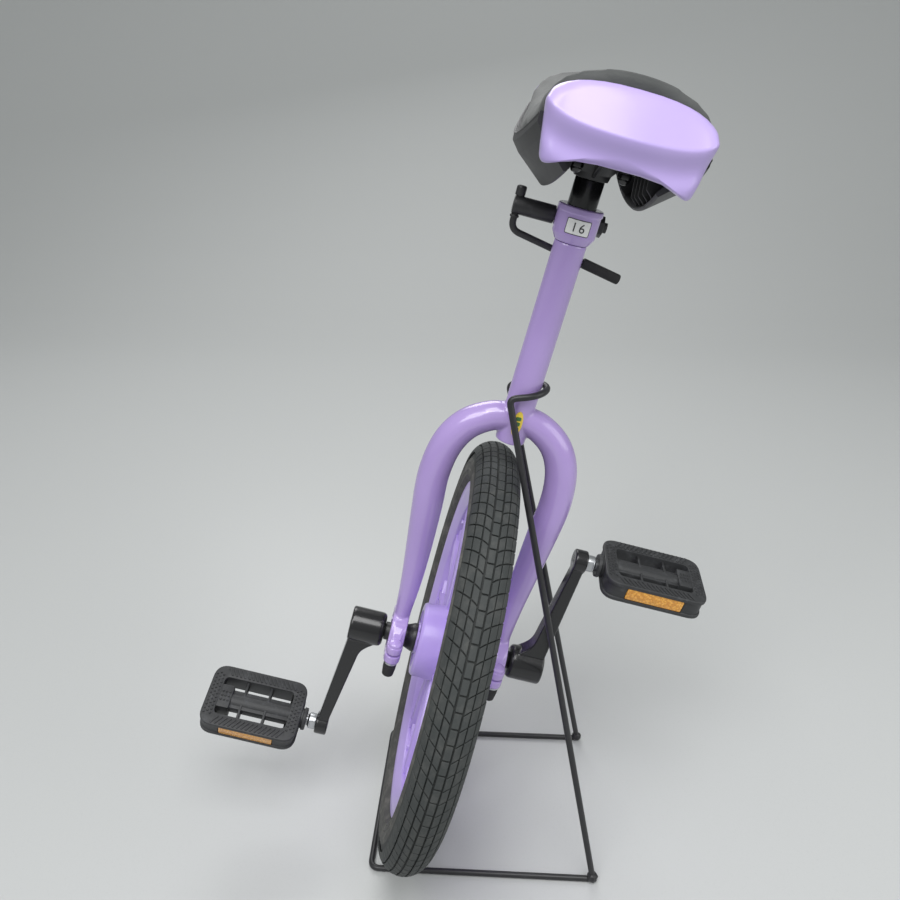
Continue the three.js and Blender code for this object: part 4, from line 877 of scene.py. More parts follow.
def one_pitch():
    start, end = GROOVE / 2, PITCH - GROOVE / 2
    nick = 0.5
    corners = [(start, -BLOCK_HALF), (end, -BLOCK_HALF), (end, BLOCK_HALF), (start, BLOCK_HALF)]
    centre = eased(corners, nick, 1)
    shapes = [tread_block(centre)]
    for side in (-1, 1):
        shift = 0.35 * PITCH * (side > 0)
        for inner, outer in ROWS:
            shapes.append(curved_block(inner, outer, shift + start, shift + end, side))
    return gathered(shapes)


pitch = one_pitch()
pitch_mesh = bpy.data.meshes.new("pitch")
pitch.to_mesh(pitch_mesh)
pitch.free()
tread = bmesh.new()
for k in range(PITCHES):
    old = set(tread.verts)
    tread.from_mesh(pitch_mesh)
    fresh = [v for v in tread.verts if v not in old]
    on = Matrix.Rotation(2 * math.pi * k / PITCHES, 3, "X")
    bmesh.ops.rotate(tread, verts=fresh, cent=(0, 0, 0), matrix=on)
bpy.data.meshes.remove(pitch_mesh)
# The carcass shows between the blocks and takes the darker groove rubber, whose darkness is painted shade.
body = marked(carcass(), 1)
marked(body, 2, lambda face: math.hypot(face.calc_center_median().y, face.calc_center_median().z) < 181
       and abs(face.calc_center_median().x) > 10)
tyre = gathered([tread, body])
rubbers = [tread_rubber, groove_rubber, sidewall_rubber]
finished(tyre, "street_tyre", "wheel_set", rubbers, ["tyre"])

# %% [markdown]
# ## The moulded wheel
# The wheel is one plastic moulding: a deep rim, a drum for a hub and six V shaped pairs of arms with a rib
# along each edge. Rim and hub are turned, one V is drawn and ribbed, and the six are set round the hub.

# %% Wheel sizes
hub_half = 30
HUB_RADIUS = 34
RIM_INSIDE = 138
SPOKES = 6
ARM_HALF = 8
VEE = math.radians(60 * 0.27)


# %% Rim, hub and arms
def rim():
    section = eased([(RIM_BED - 1.5, -12), (RIM_BED + 4.9, -12.6, 0.4), (RIM_BED + 5.3, -15.2, 0.9),
                     (RIM_BED - 1.0, -15.3, 1.5), (RIM_BED - 4.5, -14.4, 2), (RIM_INSIDE, -9.5, 2),
                     (RIM_INSIDE, 9.5, 2), (RIM_BED - 4.5, 14.4, 2), (RIM_BED - 1.0, 15.3, 1.5),
                     (RIM_BED + 5.3, 15.2, 0.9), (RIM_BED + 4.9, 12.6, 0.4), (RIM_BED - 1.5, 12)], 0.6, 3)
    return lathe(section, 144, "X", True)


def hub():
    """The drum: domed a little round its middle, with a stepped face and a boss on each side."""
    side_face = [(8.9, hub_half), (14, hub_half), (15, hub_half - 2.2), (26, hub_half - 3.4),
                 (27, hub_half - 1), (HUB_RADIUS - 1, hub_half - 1.4),
                 (HUB_RADIUS + 0.6, hub_half - 4), (HUB_RADIUS + 2, 0)]
    section = side_face + [(r, -x) for r, x in reversed(side_face[:-1])]
    return lathe(eased(section, 1.2, 3), 96, "X", True)


def ray(radius, angle):
    return radius * math.cos(angle), radius * math.sin(angle)


def arm(turn, lean):
    """One arm of a V, from the hub's root to the rim, with a web and a rib along each edge."""
    root, head = ray(HUB_RADIUS - 2, turn + lean * 0.16), ray(RIM_INSIDE + 3, turn + lean * VEE)
    along = (Vector(head) - Vector(root)).normalized()
    square = Vector((-along.y, along.x))
    shapes = []
    for shift, half_width, depth in ((0, 5.0, ARM_HALF - 2.6), (-4.3, 1.25, ARM_HALF), (4.3, 1.25, ARM_HALF)):
        a, b = Vector(root) + square * shift, Vector(head) + square * shift * 1.15
        outline = [a - square * half_width, b - square * half_width * 1.25, b + square * half_width * 1.25,
                   a + square * half_width]
        shapes.append(plate(outline, -depth, depth, "X", 0.7, 2))
    return shapes


wheel_shapes = [rim(), hub()]
for k in range(SPOKES):
    middle = 2 * math.pi * k / SPOKES
    for lean in (-1, 1):
        wheel_shapes += arm(middle, lean)
    foot = [ray(HUB_RADIUS - 3, middle - 0.5), ray(HUB_RADIUS + 23, middle - 0.075),
            ray(HUB_RADIUS + 23, middle + 0.075), ray(HUB_RADIUS - 3, middle + 0.5)]
    wheel_shapes.append(plate(eased(foot, 3), -ARM_HALF + 1.2, ARM_HALF - 1.2, "X", 0.9, 2))
    for lean in (-1, 1):
        corners = ((2, -0.16), (2, 0.13), (-9, 0.035), (-9, -0.05))
        pad = [ray(RIM_INSIDE + up, middle + lean * (VEE + aside)) for up, aside in corners]
        wheel_shapes.append(plate(pad if lean > 0 else pad[::-1], -ARM_HALF + 2, ARM_HALF - 2, "X", 0.8, 2))
    rib_angle = middle + math.pi / SPOKES
    rib = [ray(RIM_INSIDE + 2, rib_angle - 0.018), ray(RIM_INSIDE - 4, rib_angle - 0.012),
           ray(RIM_INSIDE - 4, rib_angle + 0.012), ray(RIM_INSIDE + 2, rib_angle + 0.018)]
    wheel_shapes.append(plate(rib, -ARM_HALF, ARM_HALF, "X", 0.5, 2))
    wheel_shapes += [plate([ray(16, middle + t - 0.05), ray(27, middle + t - 0.03),
                            ray(27, middle + t + 0.03), ray(16, middle + t + 0.05)],
                           -hub_half + 1.2, hub_half - 1.2, "X", 0.4, 1)
                     for t in (0, math.pi / SPOKES)]
finished(gathered(wheel_shapes), "moulded_wheel", "wheel_set", lavender_plastic,
         ["wheel"])

# %% Valve, axle and spacers
VALVE_TURN = math.degrees(math.pi / SPOKES)
stem = eased([(0, RIM_INSIDE - 34), (3.4, RIM_INSIDE - 34, 1), (3.9, RIM_INSIDE - 24), (3.9, RIM_INSIDE - 22),
              (2.6, RIM_INSIDE - 21.6), (2.6, RIM_INSIDE - 12), (3.6, RIM_INSIDE - 6), (4.4, RIM_INSIDE + 1),
              (0, RIM_INSIDE + 4)], 0.4, 3, False)
valve = turned(turned(lathe(stem, 32, "Z"), -90), VALVE_TURN)
finished(valve, "valve", "wheel_set", black_rubber, ["valve_stem"])
axle_end = own_box("axle")[1].x
shaft = eased([(0, -axle_end), (6.2, -axle_end), (6.2, -60), (8.4, -60), (8.4, 60), (6.2, 60),
               (6.2, axle_end), (0, axle_end)], 0.4, 2, False)
finished(lathe(shaft, 64), "axle_shaft", "wheel_set", black_coat, ["axle"])
for name, side in SIDES.items():
    low, high = own_box("axle_spacer_right")
    sleeve = eased([(8.6, low.x), (13.5, low.x), (13.2, low.x + 3), (10.8, high.x - 3), (10.8, high.x),
                    (8.6, high.x)], 0.5, 3)
    finished(mirrored(lathe(sleeve, 64, "X", True), side), f"spacer_{name}", "wheel_set",
             black_coat, [f"axle_spacer_{name}"])

# %% [markdown]
# ## Cranks
# A crank is forged in one piece: a barrel that the axle goes into, a flat arm that sweeps out of it, and an
# eye for the pedal. The forging has no sharp inner corner anywhere, so it is melted together as the frame is.

# %% Places on the crank
crank_low = own_box("crank_right")[0]
BOSS_IN = crank_low.x
BOSS_OUT = 93.5
BOSS_RADIUS = 16
pedal_spot = OWN.inverted() @ Vector(joints["right_pedal_spin"]["pos_m"])
CRANK_TURN = math.degrees(math.atan2(pedal_spot.y, pedal_spot.z))
CRANK_LENGTH = math.hypot(pedal_spot.y, pedal_spot.z)
EYE_X = 97
EYE_HALF = 6
PEDAL_TILT = {"left": 20, "right": 7}


def set_on_axle(shape, side):
    """From a right crank drawn along +Z to its place: the left one points down when the right points up."""
    return turned(mirrored(shape, side), -CRANK_TURN + (0 if side > 0 else 180))


# %% Crank, cap and spindle
def crank_shapes():
    boss = lathe(eased([(0, BOSS_IN), (BOSS_RADIUS, BOSS_IN, 5), (BOSS_RADIUS, BOSS_OUT, 4),
                        (11.2, BOSS_OUT, 0.8), (10.8, BOSS_OUT - 4.6), (0, BOSS_OUT - 4.6)],
                       0.5, 5, False), 64)
    outline = eased([(BOSS_OUT - 3, -4), (EYE_X + EYE_HALF - 0.5, CRANK_LENGTH - 2),
                     (EYE_X + EYE_HALF - 10.5, CRANK_LENGTH - 2),
                     (BOSS_OUT - 12.5, BOSS_RADIUS + 24, 30), (BOSS_OUT - 15, BOSS_RADIUS + 7, 24),
                     (BOSS_IN + 6, BOSS_RADIUS - 3, 3), (BOSS_IN + 6, -4)], 1, 6)
    arm_shape = plate(outline, -8.4, 8.4, "Y", 2.6, 3)
    for v in arm_shape.verts:
        v.co.y *= 1.12 - 0.30 * min(max(v.co.z / CRANK_LENGTH, 0), 1)
    eye = lathe(eased([(0, EYE_X - EYE_HALF), (10.6, EYE_X - EYE_HALF, 1.5), (10.6, EYE_X + EYE_HALF, 1.5),
                       (0, EYE_X + EYE_HALF)], 0.5, 4, False), 48)
    return [boss, arm_shape, moved(eye, z=CRANK_LENGTH)]


def crank_cap():
    cap = lathe(eased([(0, BOSS_OUT - 4.4), (10.4, BOSS_OUT - 4.4), (10.4, BOSS_OUT - 1.2, 0.8),
                       (7.2, BOSS_OUT - 0.2, 0.8), (0, BOSS_OUT + 0.5)], 0.3, 3, False), 48)
    slot = block((BOSS_OUT - 1.6, -5, -0.9), (BOSS_OUT + 2, 5, 0.9))
    return softened(cut(cap, slot), 0.2, 2, 40)


def spindle():
    """Threaded into the eye, with a collar that has two flats for the spanner, and then the thin shaft."""
    face = EYE_X + EYE_HALF + 0.3
    shaft_end = 200
    section = [(0, EYE_X - EYE_HALF), (5, EYE_X - EYE_HALF), (5, face), (7.6, face, 0.6),
               (7.6, face + 6.4, 0.6), (5.2, face + 8), (5.2, shaft_end), (0, shaft_end)]
    shape = lathe(eased(section, 0.3, 3, False), 48)
    flats = [block((face - 1, y, -9), (face + 5.4, y + 6, 9)) for y in (6.4, -12.4)]
    return softened(cut(shape, *flats), 0.25, 2, 40)


for name, side in SIDES.items():
    crank = welded([set_on_axle(gathered(crank_shapes()), side)], 0.75, 5)
    finished(crank, f"forged_crank_{name}", "wheel_set", black_enamel, [f"crank_{name}"],
             sharp=60)
    pieces = [(crank_cap(), f"crank_dust_cap_{name}", "black_plastic", pedal_plastic, f"crank_cap_{name}"),
              (spindle(), f"pedal_axle_{name}", "bare_steel", steel, f"pedal_spindle_{name}")]
    for shape, label_name, slot_name, finish, node in pieces:
        again = bmesh.new()
        again.from_mesh(shape.data)
        bpy.data.objects.remove(shape)
        if node.startswith("pedal"):
            moved(again, z=CRANK_LENGTH)
        finished(set_on_axle(again, side), label_name, "wheel_set", finish, [node])

# %% [markdown]
# ## Pedals
# A pedal is a plastic cage: two treads with a waist between them, a barrel for the spindle and thin cross
# ribs. Shoes grip on raised marks, diagonal ribs along the long sides and small studs at the ends. The cage
# is drawn level about its spindle, on the right, and cut with booleans. The marks are small closed shapes set
# into it.

# %% Pedal sizes
PEDAL_IN = 118
PEDAL_OUT = 212
PEDAL_HALF = 31.5
PEDAL_TOP = 11
RAIL = 12
PEDAL_MIDDLE = (PEDAL_IN + PEDAL_OUT) / 2
LENS_HALF = (26, 6)


def pedal_space(side):
    """The pedal's own space: level, about the spindle's axis through the crank's eye."""
    spot = pedal_spot if side > 0 else -pedal_spot
    tilt = PEDAL_TILT["right" if side > 0 else "left"]
    return OWN @ Matrix.Translation((0, spot.y, spot.z)) @ Matrix.Rotation(math.radians(tilt), 4, "X")


# %% Pedal cage
def slab(x0, x1, half, radius, low, high, ease=1.2):
    """A flat plate with round corners, in the plane of the tread."""
    outline = eased([(x0, -half), (x1, -half), (x1, half), (x0, half)], radius, 8)
    return plate(outline, low, high, "Z", ease, 3)


def cage():
    body_shape = slab(PEDAL_IN + 1.4, PEDAL_OUT - 1.4, PEDAL_HALF - 1.2, 13, -PEDAL_TOP + 2, PEDAL_TOP - 2)
    treads = [slab(PEDAL_IN, PEDAL_OUT, PEDAL_HALF, 14, low, high)
              for low, high in ((0.9 - PEDAL_TOP, 5 - PEDAL_TOP), (PEDAL_TOP - 5, PEDAL_TOP - 0.9))]
    whole = joined(body_shape, *treads)
    window = slab(PEDAL_IN + RAIL, PEDAL_OUT - RAIL, PEDAL_HALF - RAIL, 5, -20, 20, 0)
    pockets = [block((PEDAL_MIDDLE - LENS_HALF[0] - 0.6, end * (PEDAL_HALF - 1) - 2.4, -LENS_HALF[1] - 0.4),
                     (PEDAL_MIDDLE + LENS_HALF[0] + 0.6, end * (PEDAL_HALF - 1) + 2.4, LENS_HALF[1] + 0.4))
               for end in ENDS.values()]
    return softened(cut(whole, window, *pockets), 0.5, 2, 40)


def cage_inside():
    """The barrel, the ribs across it, the studded block at the outer end and the seal at the inner end."""
    inner, outer = PEDAL_IN + RAIL - 1, PEDAL_OUT - RAIL + 1
    section = [(5.4, PEDAL_IN + 1), (8.8, PEDAL_IN + 1), (8.8, PEDAL_OUT - 2), (5.4, PEDAL_OUT - 2)]
    barrel_shape = lathe(eased(section, 0.8, 3), 40, "X", True)
    deck = block((inner, -9.5, -3.2), (outer, 9.5, 6.4), 1.2)
    shapes = [barrel_shape, deck]
    third = (outer - inner) / 3
    for n in (1, 2):
        x = inner + n * third
        rib_reach = PEDAL_HALF - RAIL + 1
        shapes.append(block((x - 1.1, -rib_reach, -6), (x + 1.1, rib_reach, 7.2), 0.4))
        shapes.append(block((x - 1.0, -9.6, 5.5), (x + 1.0, 9.6, 7.4), 0.3))
    shapes.append(block((outer - 13, -12, -PEDAL_TOP + 1.2), (outer + 3, 12, PEDAL_TOP - 1.2), 1.2))
    nose = lathe(eased([(5.5, PEDAL_IN - 5.2), (10.5, PEDAL_IN - 5.2), (10.8, PEDAL_IN - 2),
                        (9.4, PEDAL_IN - 1.4), (9.4, PEDAL_IN + 2), (5.5, PEDAL_IN + 2)], 0.6, 3),
                 40, "X", True)
    return shapes + [nose]


def grip_marks(way):
    """Raised marks on one tread: slanted ribs on both long rails and studs on the two ends."""
    shapes = []
    face = PEDAL_TOP - 1.1
    for end in ENDS.values():
        for k in range(16):
            x = PEDAL_IN + 15 + k * 4.25
            rib = block((-0.85, -5.0, 0), (0.85, 5.0, 1.1), 0.3, 1)
            turned(rib, -34 * end, "Z")
            shapes.append(moved(rib, x, end * (PEDAL_HALF - 5.9), face))
    for x0, columns in ((PEDAL_IN + 3.6, 3), (PEDAL_OUT - 9.4, 3)):
        for column in range(columns):
            for row in range(-5, 6):
                y = row * 4.1 + (2.05 if column % 2 else 0)
                if abs(y) < PEDAL_HALF - 8:
                    shapes.append(moved(stud(), x0 + column * 3.1, y, face))
    for column in range(3):
        for row in (-1, 0, 1):
            shapes.append(moved(stud(), PEDAL_OUT - RAIL - 9 + column * 3.3, row * 4.4, face - 0.2))
    whole = gathered(shapes)
    return whole if way > 0 else turned(whole, 180)


def stud():
    """A small blunt cone."""
    shape = bmesh.new()
    bmesh.ops.create_cone(shape, cap_ends=True, segments=8, radius1=1.25, radius2=0.7, depth=1.2,
                          matrix=Matrix.Translation((0, 0, 0.55)))
    return shape


# %% Reflectors
def lens():
    """An amber bar with a bevelled rim and a small diamond in the middle of its face."""
    half_x, half_z = LENS_HALF
    shape = plate(eased([(-half_x, -half_z), (half_x, -half_z), (half_x, half_z), (-half_x, half_z)], 1.2, 4),
                  0, 2.6, "Y", 0.6, 2)
    for k in range(-12, 13):
        rib = block((-0.35, 2.5, -half_z + 1.2), (0.35, 2.85, half_z - 1.2), 0.12, 1)
        if abs(k) > 0:
            shape = gathered([shape, moved(rib, k * 2.0)])
    diamond = plate([(-2.2, 0), (0, -3.6), (2.2, 0), (0, 3.6)], 2.5, 3.0, "Y", 0.3, 1)
    return gathered([shape, diamond])


# %% Build both pedals
for name, side in SIDES.items():
    body_name = f"{name}_pedal"
    space = pedal_space(side)
    holder = cage()
    parts = bmesh.new()
    parts.from_mesh(holder.data)
    bpy.data.objects.remove(holder)
    whole = gathered([parts] + cage_inside() + [grip_marks(1), grip_marks(-1)])
    finished(mirrored(whole, side), f"pedal_cage_{name}", body_name, pedal_plastic,
             [f"pedal_{name}"], space)
    section = [(0, PEDAL_OUT - 8), (7, PEDAL_OUT - 8), (7, PEDAL_OUT - 0.4, 1.2), (0, PEDAL_OUT)]
    cap = lathe(eased(section, 0.3, 3, False), 32)
    finished(mirrored(cap, side), f"pedal_end_cap_{name}", body_name, pedal_plastic,
             [f"pedal_cap_{name}"], space)
    for where, end in ENDS.items():
        bar_lens = lens()
        if end < 0:
            turned(bar_lens, 180, "Z")
        moved(bar_lens, PEDAL_MIDDLE, end * (PEDAL_HALF - 3.4))
        finished(mirrored(bar_lens, side), f"reflector_lens_{name}_{where}", body_name, amber,
                 [f"reflector_{name}_{where}"], space)

# %% [markdown]
# ## The stand
# The stand is one gauge of wire, bent cold. Its base is a U that lies on the floor, and a second wire rises
# from the two open ends to a hook round the seat tube. The lines follow the CAD wires: straights with eased
# corners.

# %% Stand lines
base_low, base_high = own_box("stand_base_wire", FLOOR)
WIRE = 2.8
floor_line = base_low.z + WIRE
STAND_LEFT, STAND_RIGHT = base_low.x + WIRE, base_high.x
STAND_FRONT, STAND_BACK = base_low.y + WIRE, base_high.y - WIRE
corners = ((STAND_RIGHT, STAND_FRONT), (STAND_LEFT, STAND_FRONT), (STAND_LEFT, STAND_BACK),
           (STAND_RIGHT, STAND_BACK))
base_line = eased([Vector((x, y, floor_line)) for x, y in corners], 9, 8, False)
finished(bar(base_line, WIRE, 24), "stand_base", "stand", black_coat,
         ["stand_base_wire"], FLOOR)

HOOK_Z = base_low.z + 454
HOOK_RISE = math.radians(6)
HOOK_ARM = 13
to_floor = FLOOR.inverted() @ OWN
tube_at_hook = to_floor @ Vector((0, 0, (HOOK_Z - (to_floor @ Vector((0, 0, 0))).z) / math.cos(LEAN)))
slope = LEAN + HOOK_RISE
loop = TUBE_RADIUS / math.cos(slope) + WIRE * math.tan(slope) + 0.5 + WIRE


def hook_point(x, y):
    return Vector((tube_at_hook.x + x * math.cos(HOOK_RISE), y, HOOK_Z + x * math.sin(HOOK_RISE)))


foot_z = floor_line + 1.3 * WIRE
front_foot = Vector((STAND_RIGHT, STAND_FRONT, foot_z))
back_foot = Vector((STAND_RIGHT, STAND_BACK, foot_z))
front_leg = eased([front_foot, hook_point(-HOOK_ARM, -loop), hook_point(0, -loop)], 8, 8, False)
round_tube = [hook_point(loop * math.cos(a), loop * math.sin(a))
              for a in [math.radians(-84 + 12 * k) for k in range(15)]]
back_leg = eased([hook_point(0, loop), hook_point(-HOOK_ARM, loop), back_foot], 8, 8, False)
hook_line = front_leg + round_tube + back_leg
finished(bar(hook_line, WIRE, 24), "stand_hook_wire", "stand", black_coat,
         ["stand_upright_wire"], FLOOR)
for where, foot in (("front", front_foot), ("back", back_foot)):
    bead = bmesh.new()
    at_foot = Matrix.Translation((foot.x, foot.y, 5.6))
    bmesh.ops.create_icosphere(bead, subdivisions=4, radius=5.4, matrix=at_foot)
    for v in bead.verts:
        v.co += (v.co - Vector((foot.x, foot.y, 5.6))).normalized() * (noise.noise(v.co * 0.45) * 0.7 - 0.35)
        v.co.z = max(v.co.z, base_low.z + 0.1)
    finished(bead, f"weld_bead_{where}", "stand", black_coat, [f"stand_weld_{where}"], FLOOR)

# %% [markdown]
# ## Post and saddle
# The saddle is drawn flat and then bent with one rule, as the CAD model is: both ends rise, and its plan
# narrows towards them. A section is a list of points across the saddle, and `drawn` takes it from one end to
# the other.

# %% The seat post
post_low, post_high = own_box("seat_post")
POST_RADIUS = post_high.x
bore = POST_RADIUS - 1.8
post_profile = [(bore, post_low.z, 0.3), (POST_RADIUS, post_low.z, 0.8)]
for ring in range(3):
    z = post_low.z + 62 + ring * 3
    post_profile += [(POST_RADIUS, z - 0.5, 0.1), (POST_RADIUS - 0.3, z, 0.2), (POST_RADIUS, z + 0.5, 0.1)]
post_profile += [(POST_RADIUS, post_high.z, 0.6), (bore, post_high.z, 0.3)]
finished(lathe(eased(post_profile, 0.3, 2), 96, "Z", True), "chromed_black_post", "post",
         black_enamel, ["seat_post"])

# %% The saddle's bend
pad_low, pad_high = own_box("saddle_pad")
base_low, base_high = own_box("saddle_base")
SADDLE_REACH = pad_high.y
SADDLE_HALF = base_high.x
SADDLE_BEND = 20
END_WIDTH = 0.865
DECK_Z = pad_low.z - 0.3


def bend_at(y):
    return SADDLE_BEND * (y / SADDLE_REACH) ** 2


def narrow_at(y):
    return 1 - (1 - END_WIDTH) * min(1, abs(y / SADDLE_REACH)) ** 2


def drawn(section, reach, steps=40, easing=0.0):
    """A section (x, z), or a rule that gives one at each y, taken from end to end, bent and narrowed.

    Its last few millimetres shrink by the easing.
    """
    shape = bmesh.new()
    middle = DECK_Z
    previous = None
    stops = [-reach + 2 * reach * k / steps for k in range(steps + 1)]
    if easing:
        stops += [way * (reach - easing * t) for way in (-1, 1) for t in (0.08, 0.25, 0.5, 0.75)]
    for y in sorted(stops):
        near = max(0.0, 1 - (reach - abs(y)) / easing) if easing else 0.0
        shrink = easing * (1 - math.sqrt(1 - near * near))
        ring = []
        for x, z in section(y) if callable(section) else section:
            pull = 1 - shrink / SADDLE_HALF
            ring.append(shape.verts.new((x * pull * narrow_at(y), y,
                                         middle + (z - middle) * (1 - shrink / 70) + bend_at(y))))
        if previous:
            for k in range(len(ring)):
                on = (k + 1) % len(ring)
                shape.faces.new((previous[k], previous[on], ring[on], ring[k]))
        else:
            shape.faces.new(ring)
        previous = ring
    shape.faces.new(previous)
    bmesh.ops.recalc_face_normals(shape, faces=shape.faces)
    return shape


def hugged(x, y, z):
    """A point of the flat saddle, bent and narrowed."""
    return Vector((x * narrow_at(y), y, z + bend_at(y)))


# %% The padded cover
DISH = 6  # how much lower the middle is than the ends, past the saddle's own bend
PAD_INSET = 2.2  # room for the swelling


def pad_section(y):
    """Square shouldered under the rider, where the foam is worn lower, and fully arched at the ends."""
    worn = 1 - (y / SADDLE_REACH) ** 2
    half = SADDLE_HALF - PAD_INSET - 0.2
    low = DECK_Z + 0.3
    top = pad_high.z - SADDLE_BEND - PAD_INSET - DISH * worn
    wall = low + 14 + 3 * worn
    right = [(half - 0.8, low), (half + 0.6, low + 3), (half + 1, low + 8), (half + 0.5, low + 12)]
    for k in range(24):
        angle = math.radians(90 * k / 24)
        right.append((half * math.cos(angle) ** (1 - 0.24 * worn),
                      wall + (top - wall) * math.sin(angle) ** (1 - 0.14 * worn)))
    return right + [(0, top)] + [(-x, z) for x, z in reversed(right)]


def swollen(piece, pressure=4.0, reach=4.0):
    """Blows a closed cushion up as cloth, holding each point within reach of where it started."""
    remesh = piece.modifiers.new("remesh", "REMESH")
    remesh.mode = "VOXEL"
    remesh.voxel_size = 4.5
    settled(piece)
    piece.data.transform(Matrix.Scale(MM, 4))
    start = [v.co.copy() for v in piece.data.vertices]
    cloth = piece.modifiers.new("cloth", "CLOTH")
    cloth.settings.quality = 6
    cloth.settings.mass = 0.3
    cloth.settings.tension_stiffness = 25
    cloth.settings.compression_stiffness = 25
    cloth.settings.use_pressure = True
    cloth.settings.uniform_pressure_force = pressure
    cloth.settings.effector_weights.gravity = 0
    cloth.point_cache.frame_start, cloth.point_cache.frame_end = 1, 20
    stage = bpy.context.scene
    for frame_number in range(1, 21):
        stage.frame_set(frame_number)
    settled(piece)
    stage.frame_set(1)
    for v, was in zip(piece.data.vertices, start):
        move = v.co - was
        if move.length > reach * MM:
            v.co = was + move.normalized() * reach * MM
    piece.data.transform(Matrix.Scale(1 / MM, 4))
    return piece


pad = swollen(loose(drawn(pad_section, SADDLE_REACH - 2, 48, 7.0), "pad"))
for v in pad.data.vertices:
    v.co.z = max(v.co.z, DECK_Z + 0.4 + bend_at(v.co.y))
    v.co.y = max(-SADDLE_REACH, min(SADDLE_REACH, v.co.y))
smooth = pad.modifiers.new("smooth", "SMOOTH")
smooth.iterations = 4
finer = pad.modifiers.new("finer", "SUBSURF")
finer.levels = finer.render_levels = 1
settled(pad)
finished(pad, "saddle_cover", "saddle", cover, ["saddle_pad"])

# %% The moulded base
SKIRT_FOOT = base_low.z
SKIRT_FOOT_X = 35
UNDER = DECK_Z - 4
outside = [(SADDLE_HALF, DECK_Z), (SADDLE_HALF, DECK_Z - 6), (SADDLE_HALF - 6, DECK_Z - 13),
           (SKIRT_FOOT_X, SKIRT_FOOT)]
inside = [(SKIRT_FOOT_X - 3, SKIRT_FOOT + 1.5), (SADDLE_HALF - 9, UNDER)]
section = eased(outside + inside + [(-x, z) for x, z in reversed(outside + inside)], 1.1, 3)
base_shapes = [drawn(section, SADDLE_REACH, 48)]
for y in range(-84, 85, 14):
    for side in SIDES.values():
        if abs(y) > 20:
            corners = [(SKIRT_FOOT_X - 1, SKIRT_FOOT + 3), (SADDLE_HALF - 8, UNDER - 1),
                       (SADDLE_HALF - 8, UNDER + 1), (26, UNDER + 1), (26, UNDER - 2),
                       (SKIRT_FOOT_X - 7, SKIRT_FOOT + 8)]
            rib = plate(corners, y - 0.9, y + 0.9, "Y", 0.3, 1)
            for v in rib.verts:
                v.co = hugged(*v.co)
            base_shapes.append(mirrored(rib, side))
for x in (-28, 28):
    rail = drawn([(x - 1, UNDER + 1), (x - 1, UNDER - 4), (x + 1, UNDER - 4), (x + 1, UNDER + 1)],
                 SADDLE_REACH - 3, 24)
    base_shapes.append(rail)
for end in ENDS.values():
    for x in (-24, 0, 24):
        seat = lathe(eased([(0, -5), (5.4, -5), (5.4, 1), (0, 1)], 0.8, 3, False), 32, "Z")
        base_shapes.append(moved(seat, *hugged(x, end * 88, UNDER)))
finished(gathered(base_shapes), "saddle_shell", "saddle", base_plastic, ["saddle_base"])
for side_name, side in SIDES.items():
    edge = [hugged(side * (SADDLE_HALF - 0.5), y, DECK_Z - 1.2) for y in range(-102, 103, 6)]
    finished(bar(edge, 1.0, 12), f"edge_trim_{side_name}", "saddle", base_plastic)
for where, end in ENDS.items():
    for n, x in enumerate((-24, 0, 24)):
        section = [(0, -2.6), (2.6, -2.4), (3.4, -0.6), (3.4, 0.4), (0, 0.4)]
        screw = lathe(eased(section, 0.4, 3, False), 32, "Z")
        cross = [block((-2.2, -0.45, -3.2), (2.2, 0.45, -1.4)), block((-0.45, -2.2, -3.2), (0.45, 2.2, -1.4))]
        head = moved(gathered([screw]), 0, 0, 0)
        made = cut(head, *cross)
        made.data.transform(Matrix.Translation(hugged(x, end * 88, UNDER - 5)))
        finished(made, f"base_screw_{where}_{n}", "saddle", black_enamel)


# %% Bumpers
BUMPER_DEPTH = 24
bumper_low, bumper_high = own_box("bumper_back")
BUMPER_HALF = bumper_high.x
BUMPER_TOP = bumper_high.z
BUMPER_FOOT = bumper_low.z
BUMPER_ARCH = 6
RIM = 7


def bumper_depth(x, z):
    """How far the face stands out: a full lower face, and above a curved crease a shelf that slopes back."""
    across = x / BUMPER_HALF
    bulge = BUMPER_DEPTH - 8 * across ** 2
    crease = BUMPER_FOOT + 26.5 + 4 * across ** 2 + 7 * across ** 6
    down = max(0.0, min(1.0, (crease - z) / 26))
    lower = bulge - 3.2 * math.sin(math.pi * down) ** 2 - 2.5 * down ** 2
    upper = bulge - 0.78 * (z - crease)
    soft = 1.0
    blend = max(soft - abs(lower - upper), 0) / soft
    return min(lower, upper) - blend * blend * soft / 4


